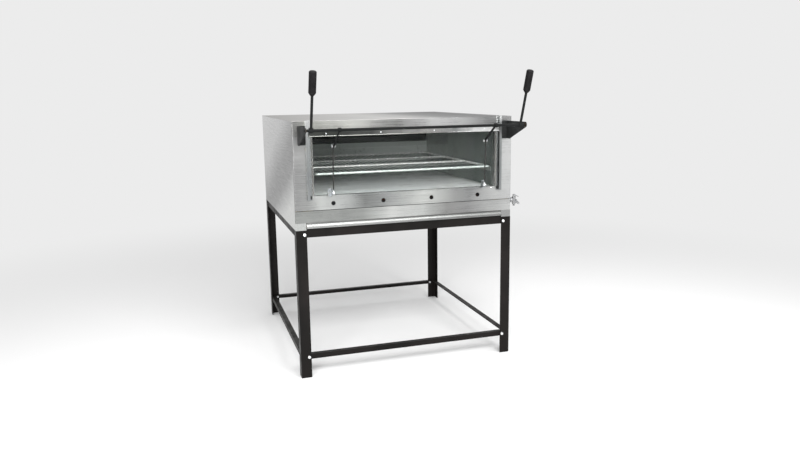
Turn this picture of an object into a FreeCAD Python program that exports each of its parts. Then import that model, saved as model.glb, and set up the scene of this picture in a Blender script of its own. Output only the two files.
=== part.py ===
import FreeCAD, Part
import math
import os

os.makedirs("parts", exist_ok=True)

V = FreeCAD.Vector

# Single-deck gas oven with a glass door that slides up, on an open stand of bolted steel angle.
# All sizes are in millimetres. The pieces are drawn about the middle of the front face:
# X runs across the front, Y runs back from the front face, Z runs up from the floor.
# At the end they are shifted so that the origin is on the floor, midway across and along the whole object.

# Whole object
body_width = 1100.0
body_depth = 1120.0
body_height = 499.0
stand_height = 736.0

# Sheet metal
casing_sheet = 1.5
liner_sheet = 1.5
bend_radius = 3.0
fold_depth = 14.0
seam = 0.4

# Stand of steel angle
leg_flange = 50.8
leg_thick = 4.0
leg_drop = 9.0
top_rail_flange = 44.0
low_rail_flange = 25.4
rail_thick = 3.0
low_rail_top = 118.0
root_radius = 4.0
toe_radius = 1.5
stand_bolt_d = 8.0
stand_bolt_hole_clearance = 0.2
stand_bolt_inset = 40.0
top_bolt_drop = 30.0
low_bolt_drop = 14.0
bolt_head_height = 5.3
bolt_nut_height = 6.5
bolt_across_flats = 13.0
bolt_end = 2.0

# Front of the casing, from the rails up
lip_height = 26.0
strip_height = 55.0
strip_recess = 2.0
shadow_gap = 3.0
lip_flare_radius = 30.0
lip_flare_angle = 50.0
corner_width = 50.0
corner_gap = 2.0
post_width = 92.0
header_height = 63.0
hearth_height = 150.0
window_sill = 2.0
jamb_depth = 22.0
lighting_hole_r = 10.5
lighting_hole_drop = 37.0

# Chamber
rear_space = 110.0
hearth_thick = 6.0
hearth_side_gap = 2.0
ledge_width = 20.0
ceiling_fold = 25.0
throat_height = 115.5
collector_depth = 50.5
spigot_r = 50.0
spigot_reach = 30.0
spigot_hole_clearance = 1.5
spigot_bead_r = 1.2
spigot_bead_sink = 0.1
spigot_bead_out = 3.0
baffle_width = 300.0
baffle_gap = 5.75
baffle_leg = 24.0
baffle_tab = 20.0
wool_gap = 1.0
wool_pipe_gap = 2.0
wool_front_gap = 2.0
tray_fold = 15.0
air_slot_length = 260.0
air_slot_width = 24.0
air_slot_rows = 4
air_slot_columns = 3
rear_return = 28.0
louvre_count = 9
louvre_length = 90.0
louvre_width = 8.0
louvre_rise = 60.0

# Burners and gas
burner_count = 4
burner_side_gap = 90.5
burner_r = 17.0
burner_wall = 1.5
burner_drop = 43.0
burner_front_gap = 8.0
burner_rear_gap = 50.0
burner_slot_pitch = 42.0
burner_slot_width = 3.0
mixer_r = 12.0
mixer_reach = 6.5
mixer_gap = 3.85
bearer_flange = 25.0
bearer_inset = 110.0
manifold_r = 10.65
manifold_wall = 2.3
manifold_back = 45.0
manifold_over = 32.0
manifold_hole_clearance = 1.0
jet_flats = 11.0
jet_height = 7.0
jet_stem_r = 2.75
jet_bore_r = 0.9

# Gas cock on the right side
cock_out = 42.0
cock_union_length = 14.0
cock_union_flats = 24.0
cock_barrel_r = 9.0
cock_barrel_up = 17.0
cock_barrel_down = 16.0
plug_r = 5.5
plug_clearance = 0.05
plug_rise = 22.0
plug_drop = 32.0
cock_nut_wall = 3.0
cock_nut_height = 6.0
key_boss_r = 7.0
key_boss_height = 10.0
key_length = 28.5
key_slope = 25.0
key_width = 10.0
key_thick = 4.0
key_gap = 1.0
nozzle_angle = 38.0
nozzle_r = 5.0
nozzle_bore_r = 3.0
nozzle_length = 37.0
nozzle_tip = 6.0
nozzle_ridge = 1.2
nozzle_ridge_pitch = 4.5
nozzle_ridges = 3
nozzle_nut_flats = 17.0
nozzle_nut_start = 8.0
nozzle_nut_length = 7.0

# Rack
rack_wire_r = 5.5
rack_bar_r = 5.3
rack_corner_r = 14.0
rack_fine_r = 2.0
rack_bite = 1.0
rack_side_gap = 11.0
rack_front_gap = 26.0
rack_rear_gap = 24.0
rack_crossbars = 4
rack_fine_pitch = 28.0
rack_height = 100.0
rack_rail_flange = 20.0
rack_rail_thick = 2.0
rack_rail_end_gap = 18.0
rack_gap = 0.3

# Door, its guides and its seal
glass_thick = 6.0
glass_side_overlap = 26.0
glass_bottom_overlap = 4.0
glass_top_overlap = 11.5
glass_side_clearance = 5.0
seal_gap = 0.6
seal_r = 3.6
seal_inset = 5.0
guide_sheet = 1.5
guide_glass_gap = 0.6
guide_lip = 12.0
guide_bottom_drop = 20.0
guide_over_top = 3.0
trim_height = 22.0
trim_sheet = 1.5
trim_bead_r = 1.8
trim_side_gap = 2.0
trim_back_gap = 4.0
rest_height = 9.0
rest_reach = 19.0
rest_gap = 0.4
rest_lip = 6.0
rest_lip_thick = 1.9

# Door lift
shaft_r = 6.35
shaft_forward = 198.0
shaft_drop = 35.0
running_clearance = 0.05
bracket_sheet = 4.0
bracket_guide_gap = 1.0
bracket_width = 34.5
bracket_tip_r = 13.0
bracket_depth_down = 75.0
bracket_foot = 33.0
bracket_screw_r = 3.0
bracket_screw_inset = 16.0
bracket_screw_head_r = 5.5
bracket_screw_head = 4.0
bush_r = 8.0
bush_flange_r = 10.5
bush_flange = 2.0
shaft_over = 3.0
crank_inset = 112.0
crank_length = 148.0
crank_droop = 32.0
crank_width = 9.0
crank_eye_r = 7.0
crank_thick = 5.0
crank_hub_r = 10.0
crank_hub_length = 14.0
lever_bush_gap = 13.0
lever_lean = 20.0
lever_r = 6.0
lever_hub_r = 12.0
lever_hub_length = 18.0
lever_length = 264.0
grip_length = 106.0
grip_r = 16.5
grip_cone = 12.0
grip_neck_r = 8.5
grip_end_round = 5.0
grip_cover = 72.0
rod_r = 3.0
rod_eye_r = 7.5
rod_eye_thick = 5.0
rod_side_gap = 1.0
rod_pin_r = 3.0
rod_head_flats = 12.0
rod_head = 4.0
rod_nut = 4.5
rod_nut_gap = 0.3
clip_forward = 58.0
clip_rise = 17.0
clip_width = 14.5
clip_sheet = 2.0
clip_height = 41.0
clip_back_height = 20.0
clip_lug_r = 7.5
clip_lug_gap = 1.0

# Fasteners of the rear panel
panel_screw_r = 2.0
panel_screw_head_r = 4.0
panel_screw_head = 2.4
panel_screw_edge = 14.0
panel_screw_columns = 4
panel_screw_rows = 3

# Levels and planes that follow from the sizes above
half_width = body_width / 2
window_width = body_width - 2 * post_width
z_top = stand_height + body_height
z_leg_top = stand_height - leg_drop
z_tray_top = stand_height + casing_sheet
z_strip_bottom = stand_height + lip_height
z_strip_top = z_strip_bottom + strip_height
z_frame_bottom = z_strip_top + shadow_gap
z_frame_top = z_top - casing_sheet
z_hearth = stand_height + hearth_height
z_window_bottom = z_hearth + window_sill
z_window_top = z_top - header_height
window_height = z_window_top - z_window_bottom
z_ceiling = z_window_top + liner_sheet
half_window = window_width / 2
wall_outer = half_window + liner_sheet
y_wall_front = jamb_depth + seam
y_rear_wall = body_depth - rear_space
z_throat = z_ceiling - throat_height
y_collector = y_rear_wall + liner_sheet
y_collector_back = y_collector + collector_depth
z_spigot = (z_throat + z_ceiling) / 2
y_rear = body_depth
y_glass_back = -(2 * seal_r + seal_gap)
y_glass_front = y_glass_back - glass_thick
half_glass = half_window + glass_side_overlap
z_glass_bottom = z_window_bottom - glass_bottom_overlap
z_glass_top = z_window_top + glass_top_overlap
guide_inner = half_glass + glass_side_clearance
guide_outer = guide_inner + guide_sheet
y_guide_lip = y_glass_front - guide_glass_gap
y_guide_front = y_guide_lip - guide_sheet
z_shaft = z_top - shaft_drop
y_shaft = -shaft_forward
bracket_outer = guide_outer + bracket_guide_gap + bracket_width
gusset_inner = bracket_outer - bracket_sheet
crank_place = half_glass - crank_inset
lever_place = gusset_inner - bush_flange - lever_bush_gap - lever_hub_length / 2
burner_pitch = (window_width - 2 * burner_side_gap) / (burner_count - 1)
z_burner = z_hearth - burner_drop
z_mixer = z_burner - burner_r - mixer_reach
z_manifold = z_mixer - mixer_gap - manifold_r
z_rack = z_hearth + rack_height
x_cock = half_width + cock_out


def box(x0, x1, y0, y1, z0, z1):
    """Block between two corners, given in any order."""
    low = V(min(x0, x1), min(y0, y1), min(z0, z1))
    return Part.makeBox(abs(x1 - x0), abs(y1 - y0), abs(z1 - z0), low)


def rod(start, direction, radius, length):
    return Part.makeCylinder(radius, length, start, direction)


def fused(shapes):
    whole = shapes[0]
    if len(shapes) > 1:
        whole = whole.fuse(list(shapes[1:]))
    return whole.removeSplitter()


def group(shapes):
    return Part.makeCompound(list(shapes))


def placed(shape, origin, x_dir, y_dir):
    """Turns a shape drawn at the origin so that its X and Y lie along the two directions given."""
    z_dir = x_dir.cross(y_dir)
    matrix = FreeCAD.Matrix(
        x_dir.x, y_dir.x, z_dir.x, origin.x,
        x_dir.y, y_dir.y, z_dir.y, origin.y,
        x_dir.z, y_dir.z, z_dir.z, origin.z,
        0, 0, 0, 1)
    moved = shape.copy()
    moved.Placement = FreeCAD.Placement(matrix).multiply(moved.Placement)
    return moved


def mirrored(shape):
    """The same piece on the other side of the middle plane."""
    return shape.mirror(V(0, 0, 0), V(1, 0, 0))


def prism(points, direction):
    """Flat outline given as points, drawn out along a direction."""
    wire = Part.makePolygon(list(points) + [points[0]])
    return Part.Face(wire).extrude(direction)


def hexagon(start, direction, flats, length):
    """Hexagonal bar along a main direction."""
    corner = flats / math.sqrt(3)
    points = []
    for i in range(6):
        turn = math.radians(60 * i)
        points.append(V(corner * math.cos(turn), corner * math.sin(turn), 0))
    bar = prism(points, V(0, 0, length))
    turned = FreeCAD.Placement(start, FreeCAD.Rotation(V(0, 0, 1), direction))
    bar.Placement = turned
    return bar


def angle_bar(flange, thick, length):
    """Rolled angle: one flange along X, one along Y, drawn along Z from its sharp outer corner."""
    mid = math.cos(math.radians(45))
    toe = toe_radius
    inner = thick + root_radius

    def arc(start, middle, end):
        return Part.Arc(V(*start, 0), V(*middle, 0), V(*end, 0)).toShape()

    def line(start, end):
        return Part.LineSegment(V(*start, 0), V(*end, 0)).toShape()

    toe_mid = toe * (1 - mid)
    root_mid = inner - root_radius * mid
    edges = [
        line((0, 0), (flange, 0)),
        line((flange, 0), (flange, thick - toe)),
        arc((flange, thick - toe), (flange - toe_mid, thick - toe_mid), (flange - toe, thick)),
        line((flange - toe, thick), (inner, thick)),
        arc((inner, thick), (root_mid, root_mid), (thick, inner)),
        line((thick, inner), (thick, flange - toe)),
        arc((thick, flange - toe), (thick - toe_mid, flange - toe_mid), (thick - toe, flange)),
        line((thick - toe, flange), (0, flange)),
        line((0, flange), (0, 0)),
    ]
    return Part.Face(Part.Wire(edges)).extrude(V(0, 0, length))


def pan(x0, x1, z0, z1, y0, depth, sheet, radius):
    """Sheet with its four edges folded back, open at the rear, with rounded upright corners."""
    outer = box(x0, x1, y0, y0 + depth, z0, z1)
    front_corners = []
    for edge in outer.Edges:
        box_of_edge = edge.BoundBox
        upright = box_of_edge.ZLength > (z1 - z0) / 2
        if upright and box_of_edge.YMax < y0 + sheet:
            front_corners.append(edge)
    outer = outer.makeFillet(radius, front_corners)
    inner = box(x0 + sheet, x1 - sheet, y0 + sheet, y0 + depth, z0 + sheet, z1 - sheet)
    return outer.cut(inner)


pieces = {}


# Stand legs: four uprights, flanges to the outside on the front or rear and on the side.
bolt_hole_r = stand_bolt_d / 2 + stand_bolt_hole_clearance
bolt_levels = [stand_height - top_bolt_drop, low_rail_top - low_bolt_drop]
bolt_x = half_width - stand_bolt_inset
leg = angle_bar(leg_flange, leg_thick, z_leg_top)
leg_turns = {
    "front_left": (V(-half_width, 0, 0), V(1, 0, 0), V(0, 1, 0)),
    "front_right": (V(half_width, 0, 0), V(0, 1, 0), V(-1, 0, 0)),
    "rear_right": (V(half_width, y_rear, 0), V(-1, 0, 0), V(0, -1, 0)),
    "rear_left": (V(-half_width, y_rear, 0), V(0, -1, 0), V(1, 0, 0)),
}
bolt_holes = []
for side in (-1, 1):
    for level in bolt_levels:
        bolt_holes.append(rod(V(side * bolt_x, -leg_flange, level), V(0, 1, 0), bolt_hole_r,
                              y_rear + 2 * leg_flange))
for corner, (place, along, back) in leg_turns.items():
    pieces["stand_leg_" + corner] = placed(leg, place, along, back).cut(group(bolt_holes))

# Stand rails: wide angle under the casing, narrow angle near the floor.
# The front and rear rails are bolted, the side rails are welded to the legs.
# A side rail's flat flange is cut away at its ends, where the front and rear rails lie.


def cross_rail(flange, top, front):
    length = 2 * (half_width - leg_thick - root_radius - seam)
    bar = angle_bar(flange, rail_thick, length)
    if front:
        start = V(-length / 2, leg_thick, top)
        rail = placed(bar, start, V(0, 0, -1), V(0, 1, 0))
    else:
        start = V(-length / 2, y_rear - leg_thick, top)
        rail = placed(bar, start, V(0, -1, 0), V(0, 0, -1))
    return rail.cut(group(bolt_holes))


def side_rail(flange, top):
    start_y = leg_thick + root_radius + seam
    length = y_rear - 2 * start_y
    bar = angle_bar(flange, rail_thick, length)
    rail = placed(bar, V(half_width - leg_thick, y_rear - start_y, top), V(-1, 0, 0), V(0, 0, -1))
    cope = leg_thick + flange + seam
    inside = half_width - leg_thick - rail_thick
    for y0, y1 in ((0, cope), (y_rear - cope, y_rear)):
        rail = rail.cut(box(0, inside, y0, y1, top - flange - seam, top + seam))
    return rail


for name, flange, top in (("top", top_rail_flange, stand_height), ("low", low_rail_flange, low_rail_top)):
    pieces["stand_" + name + "_rail_front"] = cross_rail(flange, top, True)
    pieces["stand_" + name + "_rail_rear"] = cross_rail(flange, top, False)
    pieces["stand_" + name + "_rail_right"] = side_rail(flange, top)
    pieces["stand_" + name + "_rail_left"] = mirrored(side_rail(flange, top))

# Stand bolts and nuts: hexagon heads outside, nuts inside the rails.
bolts = []
nuts = []
bolted_thick = leg_thick + rail_thick
for side in (-1, 1):
    for level in bolt_levels:
        for face, inward in ((0.0, 1), (y_rear, -1)):
            way = V(0, inward, 0)
            seat = V(side * bolt_x, face, level)
            head = hexagon(seat - way * bolt_head_height, way, bolt_across_flats, bolt_head_height)
            shank = rod(seat, way, stand_bolt_d / 2, bolted_thick + bolt_nut_height + bolt_end)
            bolts.append(fused([head, shank]))
            nut = hexagon(seat + way * bolted_thick, way, bolt_across_flats, bolt_nut_height)
            bore = rod(seat + way * bolted_thick, way, stand_bolt_d / 2, bolt_nut_height)
            nuts.append(nut.cut(bore))
pieces["stand_bolts"] = group(bolts)
pieces["stand_nuts"] = group(nuts)

# Bottom tray: it lies on the rails, has air slots for the burners, and its front edge is a flared lip.
tray_half = half_width - casing_sheet - seam
y_tray_front = strip_recess + casing_sheet + seam
y_tray_back = y_rear - casing_sheet - seam
tray_parts = [
    box(-tray_half, tray_half, y_tray_front, y_tray_back, stand_height, z_tray_top),
    box(-tray_half, -tray_half + casing_sheet, y_tray_front + fold_depth, y_tray_back,
        stand_height, stand_height + tray_fold),
    box(tray_half - casing_sheet, tray_half, y_tray_front + fold_depth, y_tray_back,
        stand_height, stand_height + tray_fold),
]
half_lip = half_width - corner_width - corner_gap
flare = math.radians(lip_flare_angle)
y_lip_top = strip_recess + seam
z_lip_top = z_strip_bottom - seam
flare_centre_y = y_lip_top - lip_flare_radius


def flare_point(radius, turn):
    return V(-half_lip, flare_centre_y + radius * math.cos(turn), z_lip_top - radius * math.sin(turn))


outer_r = lip_flare_radius
inner_r = lip_flare_radius + casing_sheet
outer_end = flare_point(outer_r, flare)
inner_end = flare_point(inner_r, flare)
hem_outer = V(-half_lip, outer_end.y, stand_height)
hem_inner = V(-half_lip, outer_end.y + casing_sheet, z_tray_top)
fold_outer = V(-half_lip, y_tray_front, stand_height)
fold_inner = V(-half_lip, y_tray_front, z_tray_top)
hem_top = V(-half_lip, outer_end.y + casing_sheet, inner_end.z)
lip_edges = [
    Part.Arc(flare_point(outer_r, 0), flare_point(outer_r, flare / 2), outer_end).toShape(),
    Part.LineSegment(outer_end, hem_outer).toShape(),
    Part.LineSegment(hem_outer, fold_outer).toShape(),
    Part.LineSegment(fold_outer, fold_inner).toShape(),
    Part.LineSegment(fold_inner, hem_inner).toShape(),
    Part.LineSegment(hem_inner, hem_top).toShape(),
    Part.LineSegment(hem_top, inner_end).toShape(),
    Part.Arc(inner_end, flare_point(inner_r, flare / 2), flare_point(inner_r, 0)).toShape(),
    Part.LineSegment(flare_point(inner_r, 0), flare_point(outer_r, 0)).toShape(),
]
tray_parts.append(Part.Face(Part.Wire(lip_edges)).extrude(V(2 * half_lip, 0, 0)))
tray = fused(tray_parts)
slots = []
for row in range(air_slot_rows):
    for column in range(air_slot_columns):
        x_mid = (column - (air_slot_columns - 1) / 2) * window_width / air_slot_columns
        y_mid = body_depth * (row + 1) / (air_slot_rows + 1)
        slots.append(box(x_mid - air_slot_length / 2, x_mid + air_slot_length / 2,
                         y_mid - air_slot_width / 2, y_mid + air_slot_width / 2,
                         stand_height - casing_sheet, z_tray_top + casing_sheet))
pieces["base_tray"] = tray.cut(group(slots))

# Base strip: plain folded strip under the front frame, set back by a hair's breadth.
pieces["base_strip"] = pan(-half_width, half_width, z_strip_bottom, z_strip_top,
                           strip_recess, fold_depth - strip_recess, casing_sheet, bend_radius)

# Front frame: one sheet with the window and the lighting holes cut in it, and a jamb folded inwards.
frame = pan(-half_width, half_width, z_frame_bottom, z_frame_top, 0, fold_depth, casing_sheet, bend_radius)
jamb = box(-wall_outer, wall_outer, 0, jamb_depth, z_window_bottom - liner_sheet, z_window_top + liner_sheet)
window = box(-half_window, half_window, -casing_sheet, jamb_depth, z_window_bottom, z_window_top)
frame = frame.fuse(jamb).cut(window).removeSplitter()
burner_x = []
for i in range(burner_count):
    burner_x.append((i - (burner_count - 1) / 2) * burner_pitch)
z_lighting = z_hearth - lighting_hole_drop
lighting_holes = []
for x in burner_x:
    lighting_holes.append(rod(V(x, -casing_sheet, z_lighting), V(0, 1, 0), lighting_hole_r, 3 * casing_sheet))
pieces["front_frame"] = frame.cut(group(lighting_holes))

# Side casings: a sheet from the legs to the top, with a corner foot folded round at the front bottom
# and a return for the rear panel. The right one lets the gas pipe through.


def pipe_hole(clearance):
    return rod(V(0, manifold_back, z_manifold), V(1, 0, 0), manifold_r + clearance, body_width)


def side_casing(side):
    inner = half_width - casing_sheet
    y_edge = fold_depth + seam
    y_foot = strip_recess
    y_end = y_rear - casing_sheet
    z_foot = z_strip_bottom - seam
    shapes = [
        box(inner, half_width, y_edge, y_end, z_leg_top, z_frame_top),
        box(inner, half_width, y_foot, y_edge, z_leg_top, z_foot),
        box(half_width - corner_width, half_width, y_foot, y_foot + casing_sheet, z_leg_top, z_foot),
        box(half_width - rear_return, half_width, y_end - casing_sheet, y_end,
            stand_height + tray_fold, z_frame_top),
    ]
    sheet = fused(shapes)
    if side < 0:
        return mirrored(sheet)
    return sheet.cut(pipe_hole(manifold_hole_clearance))


pieces["side_casing_left"] = side_casing(-1)
pieces["side_casing_right"] = side_casing(1)

# Top panel: one flat sheet over the side casings, the front frame and the rear panel.
pieces["top_panel"] = box(-half_width, half_width, 0, y_rear, z_frame_top, z_top)

# Rear panel: outside the returns of the side casings, with the flue hole and a row of louvres.
rear_panel = box(-half_width, half_width, y_rear - casing_sheet, y_rear, z_leg_top, z_frame_top)
rear_cuts = [rod(V(0, y_rear - 2 * casing_sheet, z_spigot), V(0, 1, 0),
                 spigot_r + spigot_hole_clearance, 3 * casing_sheet)]
louvre_pitch = window_width / louvre_count
for i in range(louvre_count):
    x_mid = (i - (louvre_count - 1) / 2) * louvre_pitch
    rear_cuts.append(box(x_mid - louvre_length / 2, x_mid + louvre_length / 2,
                         y_rear - 2 * casing_sheet, y_rear + casing_sheet,
                         stand_height + louvre_rise, stand_height + louvre_rise + louvre_width))
screw_places = []
for column in range(panel_screw_columns):
    for row in range(panel_screw_rows):
        on_rim = column in (0, panel_screw_columns - 1) or row in (0, panel_screw_rows - 1)
        if not on_rim:
            continue
        span = 2 * (half_width - panel_screw_edge)
        x = -span / 2 + span * column / (panel_screw_columns - 1)
        low = stand_height + tray_fold + panel_screw_edge
        high = z_frame_top - panel_screw_edge
        z = low + (high - low) * row / (panel_screw_rows - 1)
        screw_places.append(V(x, y_rear, z))
        rear_cuts.append(rod(V(x, y_rear - 2 * casing_sheet, z), V(0, 1, 0), panel_screw_r, 3 * casing_sheet))
pieces["rear_panel"] = rear_panel.cut(group(rear_cuts))

# Chamber walls: they stand on the tray, carry the floor plate on ledges, and hold the rack rails.
wall = box(half_window, wall_outer, y_wall_front, y_rear_wall + liner_sheet, z_tray_top, z_ceiling)
ledge_top = z_hearth - hearth_thick
ledge = box(half_window - ledge_width, half_window, y_wall_front, y_rear_wall,
            ledge_top - liner_sheet, ledge_top)
wall = fused([wall, ledge])
pieces["chamber_left_wall"] = mirrored(wall)
pieces["chamber_right_wall"] = wall.cut(pipe_hole(manifold_hole_clearance))

rear_wall = box(-half_window, half_window, y_rear_wall, y_rear_wall + liner_sheet, z_tray_top, z_throat)
rear_ledge = box(-half_window + ledge_width, half_window - ledge_width,
                 y_rear_wall - ledge_width, y_rear_wall, ledge_top - liner_sheet, ledge_top)
pieces["chamber_rear_wall"] = fused([rear_wall, rear_ledge])

ceiling_half = wall_outer + liner_sheet
pieces["chamber_ceiling"] = fused([
    box(-ceiling_half, ceiling_half, y_wall_front, y_collector, z_ceiling, z_ceiling + liner_sheet),
    box(wall_outer, ceiling_half, y_wall_front, y_collector, z_ceiling - ceiling_fold, z_ceiling),
    box(-ceiling_half, -wall_outer, y_wall_front, y_collector, z_ceiling - ceiling_fold, z_ceiling),
])

hearth_half = half_window - hearth_side_gap
pieces["hearth_plate"] = box(-hearth_half, hearth_half, y_wall_front + hearth_side_gap,
                             y_rear_wall - hearth_side_gap, ledge_top, z_hearth)

# Flue collector: open-fronted box behind the throat over the rear wall, with a round spigot. A baffle
# on four bent tabs stands in front of the spigot and spreads the draught over the width. A small bead
# round the spigot stops the flue pipe short of the casing.
collector = box(-wall_outer, wall_outer, y_collector, y_collector_back + liner_sheet,
                z_throat - liner_sheet, z_ceiling + liner_sheet)
collector_inside = box(-half_window, half_window, y_collector, y_collector_back, z_throat, z_ceiling)
y_spigot_end = y_rear + spigot_reach
spigot_length = y_spigot_end - y_collector_back
spigot = rod(V(0, y_collector_back, z_spigot), V(0, 1, 0), spigot_r, spigot_length)
spigot_bore = rod(V(0, y_collector_back, z_spigot), V(0, 1, 0), spigot_r - liner_sheet, spigot_length)
bead = Part.makeTorus(spigot_r - spigot_bead_sink, spigot_bead_r,
                      V(0, y_rear + spigot_bead_out, z_spigot), V(0, 1, 0))
collector = collector.fuse([spigot, bead]).cut(group([collector_inside, spigot_bore]))
y_baffle = y_collector_back - baffle_leg
baffle_parts = [
    collector,
    box(-baffle_width / 2, baffle_width / 2, y_baffle - liner_sheet, y_baffle,
        z_throat + baffle_gap, z_ceiling - baffle_gap),
]
for side in (-1, 1):
    edge = side * baffle_width / 2
    for z_edge, z_in in ((z_throat + baffle_gap, liner_sheet), (z_ceiling - baffle_gap, -liner_sheet)):
        baffle_parts.append(box(edge, edge - side * baffle_tab, y_baffle - liner_sheet, y_collector_back,
                                z_edge, z_edge + z_in))
pieces["flue_collector"] = fused(baffle_parts)

# Mineral wool slabs between the chamber and the casing.
wool_outer = tray_half - casing_sheet - wool_gap
wool_inner = ceiling_half + wool_gap
wool_bottom = z_tray_top + wool_gap
wool_top = z_frame_top - wool_gap
wool_front = fold_depth + wool_front_gap
y_wool_rear = y_collector_back + liner_sheet + wool_gap
wool_back = y_rear - 2 * casing_sheet - wool_gap
slab = box(wool_inner, wool_outer, wool_front, y_wool_rear - wool_gap, wool_bottom, wool_top)
pieces["insulation_sides"] = group([mirrored(slab), slab.cut(pipe_hole(wool_pipe_gap))])
rear_slab = box(-wool_outer, wool_outer, y_wool_rear, wool_back, wool_bottom, wool_top)
pieces["insulation_rear"] = rear_slab.cut(rod(V(0, y_wool_rear, z_spigot), V(0, 1, 0),
                                              spigot_r + wool_gap, body_depth))
pieces["insulation_top"] = box(-wool_inner + wool_gap, wool_inner - wool_gap, jamb_depth + wool_front_gap,
                               y_wool_rear - wool_gap, z_ceiling + liner_sheet, wool_top)

# Rack rails: small angles on both chamber walls.
rail_top = z_rack - rack_wire_r - rack_gap
y_rail_start = y_wall_front + rack_rail_end_gap
y_rail_end = y_rear_wall - rack_rail_end_gap
rack_rail = fused([
    box(half_window - rack_rail_flange, half_window, y_rail_start, y_rail_end,
        rail_top - rack_rail_thick, rail_top),
    box(half_window - rack_rail_thick, half_window, y_rail_start, y_rail_end,
        rail_top - rack_rail_flange, rail_top),
])
pieces["rack_rails"] = group([mirrored(rack_rail), rack_rail])

# Burners: four ported tubes under the floor plate, each with a mixer that dips towards its jet.
y_burner_front = jamb_depth + burner_front_gap
y_burner_back = y_rear_wall - burner_rear_gap
burner_length = y_burner_back - y_burner_front


def burner(x):
    start = V(x, y_burner_front, z_burner)
    shell = rod(start, V(0, 1, 0), burner_r, burner_length)
    mixer = rod(V(x, manifold_back, z_mixer), V(0, 0, 1), mixer_r, burner_r + mixer_reach)
    bore = rod(start + V(0, burner_wall, 0), V(0, 1, 0), burner_r - burner_wall,
               burner_length - 2 * burner_wall)
    throat = rod(V(x, manifold_back, z_mixer), V(0, 0, 1), mixer_r - burner_wall, burner_r + mixer_reach)
    body = shell.fuse(mixer).cut(bore.fuse(throat))
    ports = []
    first = y_burner_front + 2 * burner_slot_pitch
    count = int((burner_length - 3 * burner_slot_pitch) / burner_slot_pitch) + 1
    for i in range(count):
        y = first + i * burner_slot_pitch
        ports.append(box(x - burner_r / 2, x + burner_r / 2, y, y + burner_slot_width,
                         z_burner + burner_r / 2, z_burner + burner_r))
    return body.cut(group(ports))


pieces["burner_tubes"] = group([burner(x) for x in burner_x])

bearer_bar = angle_bar(bearer_flange, rail_thick, window_width)
bearer_top = z_burner - burner_r
front_bearer = placed(bearer_bar, V(-half_window, y_burner_front + bearer_inset, bearer_top),
                      V(0, 0, -1), V(0, 1, 0))
rear_bearer = placed(bearer_bar, V(-half_window, y_burner_back - bearer_inset, bearer_top),
                     V(0, -1, 0), V(0, 0, -1))
pieces["burner_bearers"] = group([front_bearer, rear_bearer])

# Gas manifold: a pipe across the front, capped at the left, that runs out through the right side.
manifold_start = burner_x[0] - manifold_over
manifold_end = x_cock - cock_barrel_r - cock_union_length / 2
manifold = rod(V(manifold_start, manifold_back, z_manifold), V(1, 0, 0), manifold_r,
               manifold_end - manifold_start)
manifold_bore = rod(V(manifold_start + manifold_wall, manifold_back, z_manifold), V(1, 0, 0),
                    manifold_r - manifold_wall, manifold_end - manifold_start)
tappings = []
jets = []
for x in burner_x:
    seat = V(x, manifold_back, z_manifold + manifold_r)
    tappings.append(rod(seat - V(0, 0, manifold_r), V(0, 0, 1), jet_stem_r, 2 * manifold_r))
    foot = rod(seat - V(0, 0, manifold_wall), V(0, 0, 1), jet_stem_r, manifold_wall)
    nose = hexagon(seat, V(0, 0, 1), jet_flats, jet_height)
    channel = rod(seat - V(0, 0, manifold_wall), V(0, 0, 1), jet_bore_r, manifold_wall + jet_height)
    jets.append(fused([foot, nose]).cut(channel))
pieces["gas_manifold"] = manifold.cut(manifold_bore).cut(group(tappings))
pieces["gas_jets"] = group(jets)

# Gas cock: union on the pipe, upright barrel for the plug, and a ridged hose nozzle outwards and down.
cock_centre = V(x_cock, manifold_back, z_manifold)
slope = math.radians(nozzle_angle)
nozzle_way = V(math.cos(slope), 0, -math.sin(slope))
union = hexagon(V(manifold_end, manifold_back, z_manifold), V(1, 0, 0), cock_union_flats,
                (cock_union_length + cock_barrel_r) / 2)
socket = rod(V(manifold_end - cock_union_length / 2, manifold_back, z_manifold), V(1, 0, 0),
             manifold_r + manifold_wall, cock_union_length / 2)
socket_bore = rod(V(manifold_end - cock_union_length / 2, manifold_back, z_manifold), V(1, 0, 0),
                  manifold_r, cock_union_length / 2)
barrel = rod(cock_centre - V(0, 0, cock_barrel_down), V(0, 0, 1), cock_barrel_r,
             cock_barrel_down + cock_barrel_up)
nozzle = rod(cock_centre, nozzle_way, nozzle_r, nozzle_length)
nozzle_nut = hexagon(cock_centre + nozzle_way * nozzle_nut_start, nozzle_way, nozzle_nut_flats,
                     nozzle_nut_length)
cock_shapes = [union, socket, barrel, nozzle, nozzle_nut]
for i in range(nozzle_ridges):
    at = nozzle_length - nozzle_tip - (i + 1) * nozzle_ridge_pitch
    ridge = Part.makeCone(nozzle_r + nozzle_ridge, nozzle_r, nozzle_ridge_pitch,
                          cock_centre + nozzle_way * at, nozzle_way)
    cock_shapes.append(ridge)
cock_body = fused(cock_shapes)
gas_way = rod(V(manifold_end, manifold_back, z_manifold), V(1, 0, 0), nozzle_bore_r, x_cock - manifold_end)
nozzle_way_bore = rod(cock_centre, nozzle_way, nozzle_bore_r, nozzle_length)
plug_bore = rod(cock_centre - V(0, 0, plug_drop), V(0, 0, 1), plug_r + plug_clearance, plug_drop + plug_rise)
pieces["gas_cock_body"] = cock_body.cut(socket_bore).cut(gas_way).cut(nozzle_way_bore).cut(plug_bore)

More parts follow.
